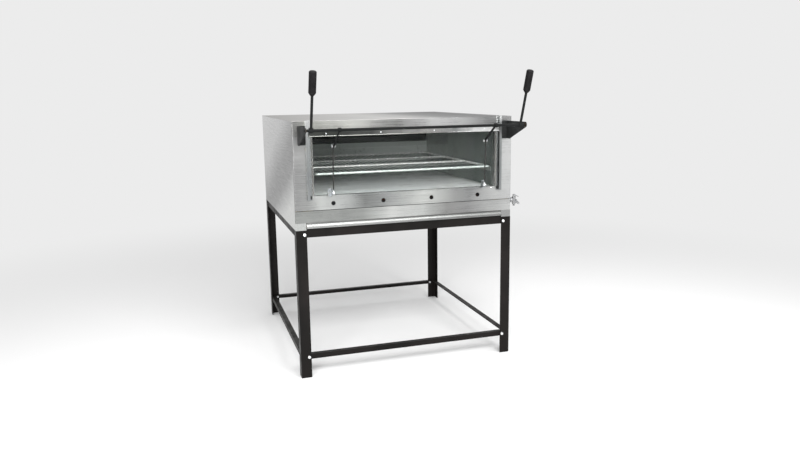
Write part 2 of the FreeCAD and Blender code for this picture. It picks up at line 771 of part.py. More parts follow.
# Gas cock key: plug through the barrel, boss and a flat wing that slopes down from its top. Its nut
# holds it from below.
boss_bottom = z_manifold + cock_barrel_up + key_gap
plug = rod(cock_centre - V(0, 0, plug_drop), V(0, 0, 1), plug_r, plug_drop + cock_barrel_up + key_gap)
boss = rod(V(x_cock, manifold_back, boss_bottom), V(0, 0, 1), key_boss_r, key_boss_height)
wing = box(0, key_length, -key_width / 2, key_width / 2, -key_thick, 0)
wing_ends = []
for edge in wing.Edges:
    if edge.BoundBox.ZLength > key_thick / 2 and edge.BoundBox.XMin > key_length / 2:
        wing_ends.append(edge)
wing = wing.makeFillet(key_width / 2 - seam, wing_ends)
wing.rotate(V(0, 0, 0), V(0, 1, 0), key_slope)
wing.translate(V(x_cock, manifold_back, boss_bottom + key_boss_height))
plug_way = rod(cock_centre - V(plug_r, 0, 0), V(1, 0, 0), nozzle_bore_r, 2 * plug_r)
pieces["gas_cock_key"] = fused([plug, boss, wing]).cut(plug_way)
nut_top = z_manifold - cock_barrel_down - key_gap
cock_nut = hexagon(V(x_cock, manifold_back, nut_top - cock_nut_height), V(0, 0, 1),
                   2 * (plug_r + cock_nut_wall), cock_nut_height)
pieces["gas_cock_nut"] = cock_nut.cut(rod(V(x_cock, manifold_back, nut_top - cock_nut_height), V(0, 0, 1),
                                          plug_r, cock_nut_height))

# Door guides: channels that hold the glass edges, open towards the middle.
seal_x = half_window + seal_inset
guide_back_inner = seal_x + seal_r + seam
z_guide_bottom = z_window_bottom - guide_bottom_drop
z_guide_top = z_top + guide_over_top
guide = fused([
    box(guide_back_inner, guide_outer, -guide_sheet, 0, z_guide_bottom, z_guide_top),
    box(guide_inner, guide_outer, y_guide_front, 0, z_guide_bottom, z_guide_top),
    box(guide_outer - guide_lip, guide_outer, y_guide_front, y_guide_lip, z_guide_bottom, z_guide_top),
])
pieces["door_guide_left"] = mirrored(guide)
pieces["door_guide_right"] = guide

# Fibre rope seals down both jambs, laid on the front frame behind the glass.
rope = rod(V(seal_x, -seal_r, z_window_bottom), V(0, 0, 1), seal_r, window_height)
pieces["door_seal_ropes"] = group([mirrored(rope), rope])

# Door rests: dark blocks at the feet of the guides, with a nose and a lip in front of the glass.
z_rest_top = z_glass_bottom - rest_gap
y_rest_front = y_glass_front - rest_gap - rest_lip_thick
y_rest_seat = y_guide_lip + rest_gap
rest_nose = guide_outer - guide_lip - rest_gap
rest = fused([
    box(guide_inner - rest_reach, guide_inner, y_rest_seat, -guide_sheet,
        z_rest_top - rest_height, z_rest_top),
    box(guide_inner - rest_reach, rest_nose, y_rest_front, y_rest_seat,
        z_rest_top - rest_height, z_rest_top),
    box(guide_inner - rest_reach, rest_nose, y_rest_front, y_rest_front + rest_lip_thick,
        z_rest_top, z_rest_top + rest_lip),
])
pieces["door_rests"] = group([mirrored(rest), rest])

# Door glass: plain tempered pane with ground edges.
glass = box(-half_glass, half_glass, y_glass_front, y_glass_back, z_glass_bottom, z_glass_top)
pieces["door_glass"] = glass.makeChamfer(seam, glass.Edges)

# Door top trim: folded over the top edge of the glass, with a beaded lower edge in front.
half_trim = guide_outer - guide_lip - trim_side_gap
half_trim_back = seal_x - seal_r - trim_back_gap
z_trim_top = z_glass_top + trim_sheet
z_trim_bottom = z_trim_top - trim_height
bead_y = y_glass_front - trim_bead_r
pieces["door_top_trim"] = fused([
    box(-half_trim, half_trim, y_glass_front - trim_sheet, y_glass_front,
        z_trim_bottom + trim_bead_r, z_trim_top),
    box(-half_trim, half_trim, y_glass_front, y_glass_back, z_glass_top, z_trim_top),
    box(-half_trim_back, half_trim_back, y_glass_back, y_glass_back + trim_sheet,
        z_trim_bottom, z_trim_top),
    rod(V(-half_trim, bead_y, z_trim_bottom + trim_bead_r), V(1, 0, 0), trim_bead_r, 2 * half_trim),
])

# Lift brackets: a flange on the post and a long gusset that carries the shaft's bush at its tip.
z_bracket_top = z_shaft + bracket_tip_r
z_bracket_bottom = z_shaft - bracket_depth_down
foot_y = -bracket_foot
reach = math.hypot(y_shaft - foot_y, z_shaft - z_bracket_bottom)
heading = math.atan2(z_shaft - z_bracket_bottom, y_shaft - foot_y)
heading += math.asin(bracket_tip_r / reach)
tangent_length = math.sqrt(reach ** 2 - bracket_tip_r ** 2)
tangent_y = foot_y + tangent_length * math.cos(heading)
tangent_z = z_bracket_bottom + tangent_length * math.sin(heading)
gusset = prism([
    V(gusset_inner, 0, z_bracket_bottom),
    V(gusset_inner, foot_y, z_bracket_bottom),
    V(gusset_inner, tangent_y, tangent_z),
    V(gusset_inner, y_shaft, z_shaft),
    V(gusset_inner, y_shaft, z_bracket_top),
    V(gusset_inner, 0, z_bracket_top),
], V(bracket_sheet, 0, 0))
nose = rod(V(gusset_inner, y_shaft, z_shaft), V(1, 0, 0), bracket_tip_r, bracket_sheet)
flange = box(guide_outer + bracket_guide_gap, bracket_outer, -bracket_sheet, 0,
             z_bracket_bottom, z_bracket_top)
bush_hole = rod(V(gusset_inner, y_shaft, z_shaft), V(1, 0, 0), bush_r, bracket_sheet)
screw_x = gusset_inner - bracket_screw_inset
screw_levels = [z_bracket_bottom + bracket_screw_inset, z_bracket_top - bracket_screw_inset]
screw_holes = []
bracket_screws = []
for z in screw_levels:
    screw_holes.append(rod(V(screw_x, -bracket_sheet, z), V(0, 1, 0), bracket_screw_r, bracket_sheet))
    shank = rod(V(screw_x, -bracket_sheet, z), V(0, 1, 0), bracket_screw_r, bracket_sheet)
    head = hexagon(V(screw_x, -bracket_sheet - bracket_screw_head, z), V(0, 1, 0),
                   2 * bracket_screw_head_r, bracket_screw_head)
    bracket_screws.append(fused([head, shank]))
bracket = fused([gusset, nose, flange]).cut(group([bush_hole] + screw_holes))
pieces["lift_bracket_left"] = mirrored(bracket)
pieces["lift_bracket_right"] = bracket

# Screws of the rear panel and of the lift brackets.
screws = []
for seat in screw_places:
    head = rod(seat, V(0, 1, 0), panel_screw_head_r, panel_screw_head)
    shank = rod(seat - V(0, casing_sheet, 0), V(0, 1, 0), panel_screw_r, casing_sheet)
    screws.append(fused([head, shank]))
for screw in bracket_screws:
    screws.append(screw)
    screws.append(mirrored(screw))
pieces["casing_screws"] = group(screws)

# Shaft bushes: flanged, pressed into the bracket tips.
bush_start = gusset_inner - bush_flange
bush = fused([
    rod(V(bush_start, y_shaft, z_shaft), V(1, 0, 0), bush_flange_r, bush_flange),
    rod(V(gusset_inner, y_shaft, z_shaft), V(1, 0, 0), bush_r, bracket_sheet),
]).cut(rod(V(bush_start, y_shaft, z_shaft), V(1, 0, 0), shaft_r + running_clearance,
           bush_flange + bracket_sheet))
pieces["shaft_bushes"] = group([mirrored(bush), bush])

# Lift shaft across the front, through both bushes.
half_shaft = bracket_outer + shaft_over
pieces["lift_shaft"] = rod(V(-half_shaft, y_shaft, z_shaft), V(1, 0, 0), shaft_r, 2 * half_shaft)
shaft_cut = rod(V(-half_shaft, y_shaft, z_shaft), V(1, 0, 0), shaft_r, 2 * half_shaft)

# Crank arms: flat bars on hubs, pointing back and down to the crank pins at rest.
droop = math.radians(crank_droop)
y_pin = y_shaft + crank_length * math.cos(droop)
z_pin = z_shaft - crank_length * math.sin(droop)
pin_hole_r = rod_pin_r + running_clearance


def flat_link(x0, thick, start, end, width, end_r):
    """Flat bar between two eyes, in an upright plane at x0."""
    along = V(0, end[0] - start[0], end[1] - start[1])
    length = along.Length
    along.normalize()
    up = V(1, 0, 0).cross(along)
    bar = prism([
        V(x0, start[0], start[1]) + up * (width / 2),
        V(x0, start[0], start[1]) - up * (width / 2),
        V(x0, start[0], start[1]) + along * length - up * (width / 2),
        V(x0, start[0], start[1]) + along * length + up * (width / 2),
    ], V(thick, 0, 0))
    eye = rod(V(x0, end[0], end[1]), V(1, 0, 0), end_r, thick)
    return fused([bar, eye])


crank_x0 = crank_place - crank_thick / 2
arm = flat_link(crank_x0, crank_thick, (y_shaft, z_shaft), (y_pin, z_pin), crank_width, crank_eye_r)
crank_hub = rod(V(crank_place - crank_hub_length / 2, y_shaft, z_shaft), V(1, 0, 0), crank_hub_r,
                crank_hub_length)
arm_hole = rod(V(crank_x0, y_pin, z_pin), V(1, 0, 0), pin_hole_r, crank_thick)
crank = fused([arm, crank_hub]).cut(shaft_cut).cut(arm_hole)
pieces["crank_arms"] = group([mirrored(crank), crank])

# Levers: a round bar on a hub, leaning forward at rest, screwed into a turned black grip.
lean = math.radians(lever_lean)
lever_way = V(0, -math.sin(lean), math.cos(lean))
lever_foot = V(lever_place, y_shaft, z_shaft)
lever_bar_length = lever_length - grip_length + grip_cover
lever_hub = rod(V(lever_place - lever_hub_length / 2, y_shaft, z_shaft), V(1, 0, 0), lever_hub_r,
                lever_hub_length)
lever_bar = rod(lever_foot, lever_way, lever_r, lever_bar_length)
lever = fused([lever_hub, lever_bar]).cut(shaft_cut)
pieces["lever_left"] = mirrored(lever)
pieces["lever_right"] = lever

grip_start = lever_foot + lever_way * (lever_length - grip_length)
cone = Part.makeCone(grip_neck_r, grip_r, grip_cone, grip_start, lever_way)
handle = rod(grip_start + lever_way * grip_cone, lever_way, grip_r, grip_length - grip_cone)
handle = fused([cone, handle])
end_edges = []
for edge in handle.Edges:
    far = (edge.CenterOfMass - lever_foot).dot(lever_way)
    if abs(far - lever_length) < seam and edge.Length > grip_r:
        end_edges.append(edge)
handle = handle.makeFillet(grip_end_round, end_edges)
handle = handle.cut(rod(lever_foot, lever_way, lever_r, lever_bar_length))
pieces["grip_left"] = mirrored(handle)
pieces["grip_right"] = handle

# Lift rods: round bars with flat eyes, from the crank pins to the clips on the door's lower edge.
y_clip = -clip_forward
z_clip = z_window_bottom + clip_rise
rod_x0 = crank_place + crank_thick / 2 + rod_side_gap
rod_x1 = rod_x0 + rod_eye_thick
rod_mid = (rod_x0 + rod_x1) / 2
rod_line = V(0, y_clip - y_pin, z_clip - z_pin)
rod_length = rod_line.Length
rod_line.normalize()
rod_bar = rod(V(rod_mid, y_pin, z_pin), rod_line, rod_r, rod_length)
eyes = [
    rod(V(rod_x0, y_pin, z_pin), V(1, 0, 0), rod_eye_r, rod_eye_thick),
    rod(V(rod_x0, y_clip, z_clip), V(1, 0, 0), rod_eye_r, rod_eye_thick),
]
eye_holes = [
    rod(V(rod_x0 - rod_eye_thick, y_pin, z_pin), V(1, 0, 0), rod_pin_r, 3 * rod_eye_thick),
    rod(V(rod_x0 - rod_eye_thick, y_clip, z_clip), V(1, 0, 0), rod_pin_r, 3 * rod_eye_thick),
]
lift_rod = fused([rod_bar] + eyes)
side_trims = []
for centre_y, centre_z in ((y_pin, z_pin), (y_clip, z_clip)):
    for x in (rod_x0 - rod_eye_thick, rod_x1):
        side_trims.append(rod(V(x, centre_y, centre_z), V(1, 0, 0), rod_eye_r, rod_eye_thick))
lift_rod = lift_rod.cut(group(side_trims)).cut(group(eye_holes))
pieces["lift_rod_left"] = mirrored(lift_rod)
pieces["lift_rod_right"] = lift_rod

# Bolts of the lift rods. The upper one is the crank pin, with its nut beyond the arm.
# The lower one ends flush with the outer face of the eye, beside the clip.
nut_x1 = crank_x0 - rod_nut_gap
upper_bolt = fused([
    hexagon(V(rod_x1, y_pin, z_pin), V(1, 0, 0), rod_head_flats, rod_head),
    rod(V(nut_x1 - rod_nut, y_pin, z_pin), V(1, 0, 0), rod_pin_r, rod_x1 - nut_x1 + rod_nut),
    hexagon(V(nut_x1 - rod_nut, y_pin, z_pin), V(1, 0, 0), rod_head_flats, rod_nut),
])
lower_bolt = fused([
    hexagon(V(rod_x0 - rod_head, y_clip, z_clip), V(1, 0, 0), rod_head_flats, rod_head),
    rod(V(rod_x0, y_clip, z_clip), V(1, 0, 0), rod_pin_r, rod_eye_thick),
])
pieces["rod_bolts_left"] = group([mirrored(upper_bolt), mirrored(lower_bolt)])
pieces["rod_bolts_right"] = group([upper_bolt, lower_bolt])

# Door clips: folded round the lower edge of the glass, each with a sloping lug beside the rod's lower
# eye and a stub bolt through the lug.
lug_x0 = rod_x1 + clip_lug_gap
lug_x1 = lug_x0 + clip_sheet
clip_x1 = lug_x0 + clip_width
clip_bottom = z_glass_bottom - clip_sheet
lug_plate = prism([
    V(lug_x0, y_glass_front, clip_bottom),
    V(lug_x0, y_clip, z_clip - clip_lug_r),
    V(lug_x0, y_clip, z_clip + clip_lug_r),
    V(lug_x0, y_glass_front, clip_bottom + clip_height),
], V(clip_sheet, 0, 0))
lug_eye = rod(V(lug_x0, y_clip, z_clip), V(1, 0, 0), clip_lug_r, clip_sheet)
lug_hole = rod(V(lug_x0, y_clip, z_clip), V(1, 0, 0), rod_pin_r, clip_sheet)
clip = fused([
    box(lug_x0, clip_x1, y_glass_front - clip_sheet, y_glass_front, clip_bottom, clip_bottom + clip_height),
    box(lug_x0, clip_x1, y_glass_front, y_glass_back, clip_bottom, z_glass_bottom),
    box(lug_x0, clip_x1, y_glass_back, y_glass_back + clip_sheet,
        clip_bottom, clip_bottom + clip_back_height),
    lug_plate,
    lug_eye,
]).cut(lug_hole)
clip_stub = fused([
    rod(V(lug_x0, y_clip, z_clip), V(1, 0, 0), rod_pin_r, clip_sheet),
    hexagon(V(lug_x1, y_clip, z_clip), V(1, 0, 0), rod_head_flats, rod_nut),
])
pieces["door_clips"] = group([mirrored(clip), clip, mirrored(clip_stub), clip_stub])

# Oven rack: heavy rim bent to round corners, crossbars welded into it, and fine wires from front to
# rear welded under the rim and the crossbars.
y_rack_front = rack_front_gap
y_rack_back = y_rear_wall - rack_rear_gap
rack_crossbar_pitch = (y_rack_back - y_rack_front) / (rack_crossbars - 1)
side_wire_x = half_window - rack_side_gap - rack_wire_r


def rim():
    """Closed loop of round wire with four round corners."""
    corner = rack_corner_r
    bulge = corner * (1 - math.cos(math.radians(45)))
    left, right = -side_wire_x, side_wire_x
    front, back = y_rack_front, y_rack_back

    def point(x, y):
        return V(x, y, z_rack)

    path = [
        Part.LineSegment(point(0, front), point(right - corner, front)),
        Part.Arc(point(right - corner, front), point(right - bulge, front + bulge),
                 point(right, front + corner)),
        Part.LineSegment(point(right, front + corner), point(right, back - corner)),
        Part.Arc(point(right, back - corner), point(right - bulge, back - bulge), point(right - corner, back)),
        Part.LineSegment(point(right - corner, back), point(left + corner, back)),
        Part.Arc(point(left + corner, back), point(left + bulge, back - bulge),
                 point(left, back - corner)),
        Part.LineSegment(point(left, back - corner), point(left, front + corner)),
        Part.Arc(point(left, front + corner), point(left + bulge, front + bulge),
                 point(left + corner, front)),
        Part.LineSegment(point(left + corner, front), point(0, front)),
    ]
    wire = Part.Wire([piece.toShape() for piece in path])
    profile = Part.Wire(Part.Circle(point(0, front), V(1, 0, 0), rack_wire_r).toShape())
    return wire.makePipeShell([profile], True, False)


rack_wires = [rim()]
for i in range(1, rack_crossbars - 1):
    y = y_rack_front + i * rack_crossbar_pitch
    rack_wires.append(rod(V(-side_wire_x, y, z_rack), V(1, 0, 0), rack_bar_r, 2 * side_wire_x))
fine_z = z_rack - rack_wire_r - rack_fine_r + rack_bite
fine_half_count = int((side_wire_x - rack_fine_pitch / 2) / rack_fine_pitch)
for i in range(-fine_half_count, fine_half_count + 1):
    rack_wires.append(rod(V(i * rack_fine_pitch, y_rack_front - rack_wire_r, fine_z), V(0, 1, 0),
                          rack_fine_r, y_rack_back - y_rack_front + 2 * rack_wire_r))
pieces["oven_rack"] = fused(rack_wires)

# The whole object's box, which sets the origin: left casing side to the gas cock's furthest point,
# front edge of the grips to the end of the flue spigot.
key_reach = x_cock + key_length * math.cos(math.radians(key_slope))
nozzle_reach = x_cock + nozzle_length * math.cos(slope) + nozzle_r * math.sin(slope)
x_right = max(key_reach, nozzle_reach)
end_centre = lever_length - grip_end_round
y_front = y_shaft - end_centre * math.sin(lean) - (grip_r - grip_end_round) * math.cos(lean) - grip_end_round
origin = V((x_right - half_width) / 2, (y_front + y_spigot_end) / 2, 0)

for name, shape in pieces.items():
    moved = shape.copy()
    moved.translate(origin * -1)
    moved.exportStep(os.path.join("parts", name + ".step"))

print("origin", round(origin.x, 3), round(origin.y, 3))
print("shaft", round(y_shaft - origin.y, 3), z_shaft)
print("crank pin", round(y_pin - origin.y, 3), round(z_pin, 3))
print("clip pin", round(y_clip - origin.y, 3), z_clip)
print("cock", round(x_cock - origin.x, 3), round(manifold_back - origin.y, 3), z_manifold)
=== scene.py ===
import math

import bmesh
import bpy
from mathutils import Matrix, Vector


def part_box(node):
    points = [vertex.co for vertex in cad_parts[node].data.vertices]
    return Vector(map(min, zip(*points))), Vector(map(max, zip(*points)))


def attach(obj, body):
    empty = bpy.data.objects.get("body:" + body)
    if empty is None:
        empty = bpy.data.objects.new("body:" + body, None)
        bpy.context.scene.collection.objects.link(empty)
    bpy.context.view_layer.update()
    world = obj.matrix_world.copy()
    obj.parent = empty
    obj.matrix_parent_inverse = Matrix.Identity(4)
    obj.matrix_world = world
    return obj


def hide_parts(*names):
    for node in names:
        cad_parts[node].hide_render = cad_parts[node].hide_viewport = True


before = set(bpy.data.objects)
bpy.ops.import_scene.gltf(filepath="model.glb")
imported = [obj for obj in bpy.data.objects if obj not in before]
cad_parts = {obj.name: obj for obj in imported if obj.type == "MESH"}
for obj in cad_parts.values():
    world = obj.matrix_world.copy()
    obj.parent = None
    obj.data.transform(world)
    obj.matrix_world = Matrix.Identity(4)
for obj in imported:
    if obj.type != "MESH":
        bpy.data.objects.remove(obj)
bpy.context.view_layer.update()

mm = 0.001

# Stand. Four legs and eight rails of hot-rolled steel angle, sawn to length, bolted at the front and
# rear, welded at the sides, and sprayed satin black. The paint is thin on the toes of the angle and
# has a faint orange-peel surface, with dust on what faces up.


def linear(code):
    """Colour written as six hex digits, in the linear values that the shader takes."""
    channels = []
    for i in (0, 2, 4):
        level = int(code[i:i + 2], 16) / 255
        channels.append(level / 12.92 if level <= 0.04045 else ((level + 0.055) / 1.055) ** 2.4)
    return (*channels, 1.0)


def join(tree, value, socket):
    """Feeds a socket from another socket, or gives it a value. A colour may be six hex digits."""
    if isinstance(value, bpy.types.NodeSocket):
        tree.links.new(value, socket)
    else:
        socket.default_value = linear(value) if isinstance(value, str) else value


def put(tree, kind, sockets=(), **settings):
    """Shader node with its settings, its inputs fed from sockets or values."""
    made = tree.nodes.new("ShaderNode" + kind)
    for key, value in settings.items():
        setattr(made, key, value)
    for key, value in dict(sockets).items():
        join(tree, value, made.inputs[key])
    return made


def calc(tree, operation, first, second=0.5, clamp=False):
    """One step of arithmetic on values."""
    return put(tree, "Math", {0: first, 1: second}, operation=operation, use_clamp=clamp).outputs[0]


def times(tree, first, second, clamp=False):
    return calc(tree, "MULTIPLY", first, second, clamp)


def dot(tree, first, second):
    return put(tree, "VectorMath", {0: first, 1: second}, operation="DOT_PRODUCT").outputs["Value"]


def coords(tree, kind="Object"):
    """Place on the object, or the normal there, in the object's own axes."""
    return put(tree, "TexCoord").outputs[kind]


def part_of(tree, vector, axis):
    return put(tree, "SeparateXYZ", {0: vector}).outputs[axis]


def noise(tree, place, scale, detail, **more):
    """Cloudy noise, with its middle at a half."""
    return put(tree, "TexNoise", {"Vector": place, "Scale": scale, "Detail": detail, **more}).outputs["Fac"]


def spread(tree, value, low, high, to_low=0.0, to_high=1.0):
    """Value from one range laid over another, smooth and held at its ends."""
    made = put(tree, "MapRange", {"Value": value, "From Min": low, "From Max": high,
                                  "To Min": to_low, "To Max": to_high}, interpolation_type="SMOOTHSTEP")
    return made.outputs["Result"]


def ramp(tree, factor, stops):
    """Colours along a factor: each stop is a place and a colour in hex digits."""
    made = put(tree, "ValToRGB", {"Fac": factor})
    keys = made.color_ramp.elements
    for key, (place, code) in ((keys[0], stops[0]), (keys[1], stops[-1])):
        key.position, key.color = place, linear(code)
    for place, code in stops[1:-1]:
        keys.new(place).color = linear(code)
    return made.outputs["Color"]


def blended(tree, factor, below, above, how="MIX"):
    """Two colours mixed by a factor."""
    return put(tree, "Mix", {0: factor, 6: below, 7: above}, data_type="RGBA", blend_type=how).outputs[2]


def bumped(tree, height, strength, distance, **more):
    """Normal of a surface that a height raises."""
    sockets = {"Height": height, "Strength": strength, "Distance": distance, **more}
    return put(tree, "Bump", sockets).outputs["Normal"]


def emptied(owner):
    """Node tree of a material or a world, with nothing in it."""
    owner.use_nodes = True
    owner.node_tree.nodes.clear()
    return owner.node_tree


def shader_group(name, inputs, outputs):
    """Empty node group with named sockets: inputs with their values, outputs with their kinds."""
    group = bpy.data.node_groups.new(name, "ShaderNodeTree")
    for label, value in inputs.items():
        kind = {3: "Vector", 4: "Color"}[len(value)] if isinstance(value, tuple) else "Float"
        socket = group.interface.new_socket(label, in_out="INPUT", socket_type="NodeSocket" + kind)
        socket.default_value = value
    for label, kind in outputs.items():
        group.interface.new_socket(label, in_out="OUTPUT", socket_type="NodeSocket" + kind)
    entry = group.nodes.new("NodeGroupInput").outputs
    leave = group.nodes.new("NodeGroupOutput").inputs
    return group, entry, leave


def use(tree, group, **values):
    """A node group placed in a material, with its inputs called by their names in lower case."""
    sockets = {key.capitalize(): value for key, value in values.items()}
    return put(tree, "Group", sockets, node_tree=group).outputs


def feed(material, **fed):
    """Fills sockets of a material's shader, called by their names with underscores."""
    shader = material.node_tree.nodes["surface"].inputs
    for key, value in fed.items():
        join(material.node_tree, value, shader[key.replace("_", " ")])


def finish_of(name, **plain):
    """New material with a Principled shader, and its node tree."""
    material = bpy.data.materials.new(name)
    tree = emptied(material)
    shader = put(tree, "BsdfPrincipled", name="surface")
    put(tree, "OutputMaterial", {"Surface": shader.outputs["BSDF"]})
    feed(material, **plain)
    return material, tree


def dress(material, *nodes):
    """Gives carried-over CAD nodes their finish."""
    for name in nodes:
        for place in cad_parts[name].material_slots:
            place.material = material


def cloud_group():
    """Soft uneven patches, for stains and for sheen that varies over a surface."""
    group, entry, leave = shader_group(
        "uneven patches", {"Size": 0.1, "Shift": 0.0, "Detail": 3.0, "Low": 0.0, "High": 1.0},
        {"Value": "Float"})
    moved = put(group, "VectorMath", {0: coords(group), 1: entry["Shift"]}, operation="ADD").outputs[0]
    cloud = noise(group, moved, calc(group, "DIVIDE", 1.0, entry["Size"]), entry["Detail"])
    join(group, spread(group, cloud, 0.32, 0.68, entry["Low"], entry["High"]), leave["Value"])
    return group


def edge_wear_and_highlight_group():
    """Mask of convex edges, broken up by patches, for worn finishes and painted highlights on folds."""
    group, entry, leave = shader_group(
        "rubbed edges", {"Width": 0.002, "Patch": 0.03, "Amount": 1.0}, {"Mask": "Float"})
    rounded = put(group, "Bevel", {"Radius": entry["Width"]}, samples=4).outputs["Normal"]
    real = put(group, "NewGeometry").outputs["Normal"]
    edge = spread(group, dot(group, rounded, real), 0.995, 0.86)
    cloud = noise(group, coords(group), calc(group, "DIVIDE", 1.0, entry["Patch"]), 5.0)
    broken = spread(group, cloud, 0.48, 0.66)
    join(group, times(group, times(group, edge, broken), entry["Amount"], True), leave["Mask"])
    return group


def dust_group():
    """Mask of the dust that settles on faces that look up."""
    group, entry, leave = shader_group("settled dust", {"Patch": 0.02, "Amount": 0.5}, {"Mask": "Float"})
    upward = spread(group, part_of(group, coords(group, "Normal"), "Z"), 0.35, 0.95)
    cloud = noise(group, coords(group), calc(group, "DIVIDE", 1.0, entry["Patch"]), 6.0, Roughness=0.65)
    lying = spread(group, cloud, 0.35, 0.7)
    join(group, times(group, times(group, upward, lying), entry["Amount"], True), leave["Mask"])
    return group


patches = cloud_group()
edge_wear_and_highlight = edge_wear_and_highlight_group()
settled_dust = dust_group()


def patchy(tree, size, shift=0.0, detail=3.0, low=0.0, high=1.0):
    """Value that varies softly over a surface, in patches of about a size."""
    return use(tree, patches, size=size, shift=shift, detail=detail, low=low, high=high)["Value"]


def black_paint(name, shades, worn, gloss, wear, sheen):
    """Sprayed black over steel, with bare steel at rubbed edges."""
    material, tree = finish_of(name, Specular_IOR_Level=sheen)
    tone = patchy(tree, 0.25, detail=4.0)
    dust = use(tree, settled_dust, patch=0.018, amount=0.08)["Mask"]
    dusty = blended(tree, dust, blended(tree, tone, *shades), "696662")
    edge = use(tree, edge_wear_and_highlight, width=1.6 * mm, patch=0.022, amount=wear)["Mask"]
    uneven = patchy(tree, 0.06, shift=3.0, low=gloss[0], high=gloss[1])
    orange_peel = noise(tree, coords(tree), 420.0, 2.0)
    feed(material, Base_Color=blended(tree, edge, dusty, worn), Metallic=times(tree, edge, 0.8),
         Roughness=calc(tree, "ADD", uneven, times(tree, dust, 0.5)),
         Normal=bumped(tree, orange_peel, 0.12, 0.4 * mm))
    return material


stand_black = black_paint("stand satin black", ("0f0e0d", "191615"), "57534f", (0.36, 0.52), 0.35, 0.1)
corners = [("front_left", "left"), ("rear_left", "left"), ("front_right", "right"), ("rear_right", "right")]
dress(stand_black, *("stand_leg_" + corner for corner, side in corners))
for level in ("top", "low"):
    dress(stand_black, *(f"stand_{level}_rail_{side}" for side in ("front", "rear", "left", "right")))

# Stand bolts. Eight zinc-plated hexagon bolts with a flat washer and a nut, through the leg and the
# rail behind it. The plating is bright with a slight yellow-blue cast and a crystal pattern.


def zinc_plate(name, shade, rough_low, rough_high, spangle, metallic=1.0):
    """Bright zinc over steel. Spangle is the size of its crystals in metres."""
    material, tree = finish_of(name, Metallic=metallic)
    crystal = put(tree, "TexVoronoi", {"Vector": coords(tree), "Scale": 1 / spangle})
    grey = put(tree, "SeparateColor", {0: crystal.outputs["Color"]}).outputs[0]
    cast = patchy(tree, 0.02, shift=1.7, detail=2.0)
    tint = blended(tree, 0.35, shade, ramp(tree, cast, [(0.0, "dad7cd"), (0.45, shade), (1.0, "d0d5da")]))
    feed(material, Base_Color=blended(tree, times(tree, grey, 0.3), tint, "8d9194"),
         Roughness=spread(tree, grey, 0.0, 1.0, rough_low, rough_high),
         Normal=bumped(tree, grey, 0.08, 0.2 * mm))
    return material


bright_zinc = zinc_plate("bright zinc", "e0e2e3", 0.28, 0.42, 1.2 * mm, 0.7)


def skin(shape, rings):
    """Quads between rings of vertices that follow each other, and a face over each end."""
    for lower, upper in zip(rings, rings[1:]):
        count = len(lower)
        for i in range(count):
            shape.faces.new((lower[i], lower[(i + 1) % count], upper[(i + 1) % count], upper[i]))
    shape.faces.new(list(reversed(rings[0])))
    shape.faces.new(rings[-1])


def placed(name, data):
    """Object in the scene that shows a mesh, a lamp or a camera."""
    made = bpy.data.objects.new(name, data)
    bpy.context.scene.collection.objects.link(made)
    return made


def piece_of(name, shape, material, body, smooth=35.0):
    """Finished object from a mesh in the making, riding on a body."""
    bmesh.ops.recalc_face_normals(shape, faces=shape.faces)
    mesh = bpy.data.meshes.new(name)
    shape.to_mesh(mesh)
    shape.free()
    mesh.shade_smooth()
    mesh.set_sharp_from_angle(angle=math.radians(smooth))
    mesh.materials.append(material)
    piece = placed(name, mesh)
    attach(piece, body)
    return piece


def ring_round(shape, centre, first, second, sides):
    """Ring of vertices round a centre. The two vectors span its plane and give its radius."""
    angles = [2 * math.pi * k / sides for k in range(sides)]
    return [shape.verts.new(centre + first * math.cos(angle) + second * math.sin(angle)) for angle in angles]


def turned(shape, profile, sides, turn=0.0):
    """Solid about Z from (radius, height) points in millimetres, closed at both ends."""
    first = Vector((math.cos(turn), math.sin(turn), 0)) * mm
    second = Vector((-first.y, first.x, 0))
    skin(shape, [ring_round(shape, Vector((0, 0, height * mm)), first * radius, second * radius, sides)
                 for radius, height in profile])


def hexagon_head(shape, flats, low, high):
    """Hexagon with chamfered corners on its upper end, from sizes in millimetres."""
    corner = flats / math.sqrt(3)
    cut = 0.13 * flats
    turned(shape, [(corner, low), (corner, high - cut / 2), (corner - cut, high)], 6, math.pi / 6)


def stand_on(origin, direction):
    """Placing of a piece drawn along Z so that it points along a direction from an origin."""
    turn = Vector((0, 0, 1)).rotation_difference(Vector(direction)).to_matrix().to_4x4()
    return Matrix.Translation(Vector(origin)) @ turn


def add_to(whole, single, placing):
    """Moves one mesh in the making into another at a placing."""
    bmesh.ops.transform(single, matrix=placing, verts=single.verts)
    held = bpy.data.meshes.new("held")
    single.to_mesh(held)
    single.free()
    whole.from_mesh(held)
    bpy.data.meshes.remove(held)


def copies(draw, places):
    """One mesh in the making that holds the same drawing at each placing."""
    whole = bmesh.new()
    for place in places:
        single = bmesh.new()
        draw(single)
        add_to(whole, single, place)
    return whole


leg_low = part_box("stand_leg_front_left")[0]
right_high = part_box("stand_leg_front_right")[1]
rear_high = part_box("stand_leg_rear_left")[1]
stand_bolt_inset = 40 * mm
top_bolt_drop = 30 * mm
low_bolt_drop = 14 * mm
stand_bolt_levels = (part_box("stand_top_rail_front")[1].z - top_bolt_drop,
                     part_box("stand_low_rail_front")[1].z - low_bolt_drop)
leg_metal = 4 * mm
rail_metal = 3 * mm
bolt_flats = 13.0
bolt_r = 4.0


def stand_bolt(shape):
    """Washer and head, drawn with the seat at zero and the head above it."""
    washer, rounding = 0.9, 0.2
    turned(shape, [(6.6, 0.0), (6.9, rounding), (6.9, washer - rounding), (6.6, washer)], 28)
    hexagon_head(shape, bolt_flats, washer, 5.3)


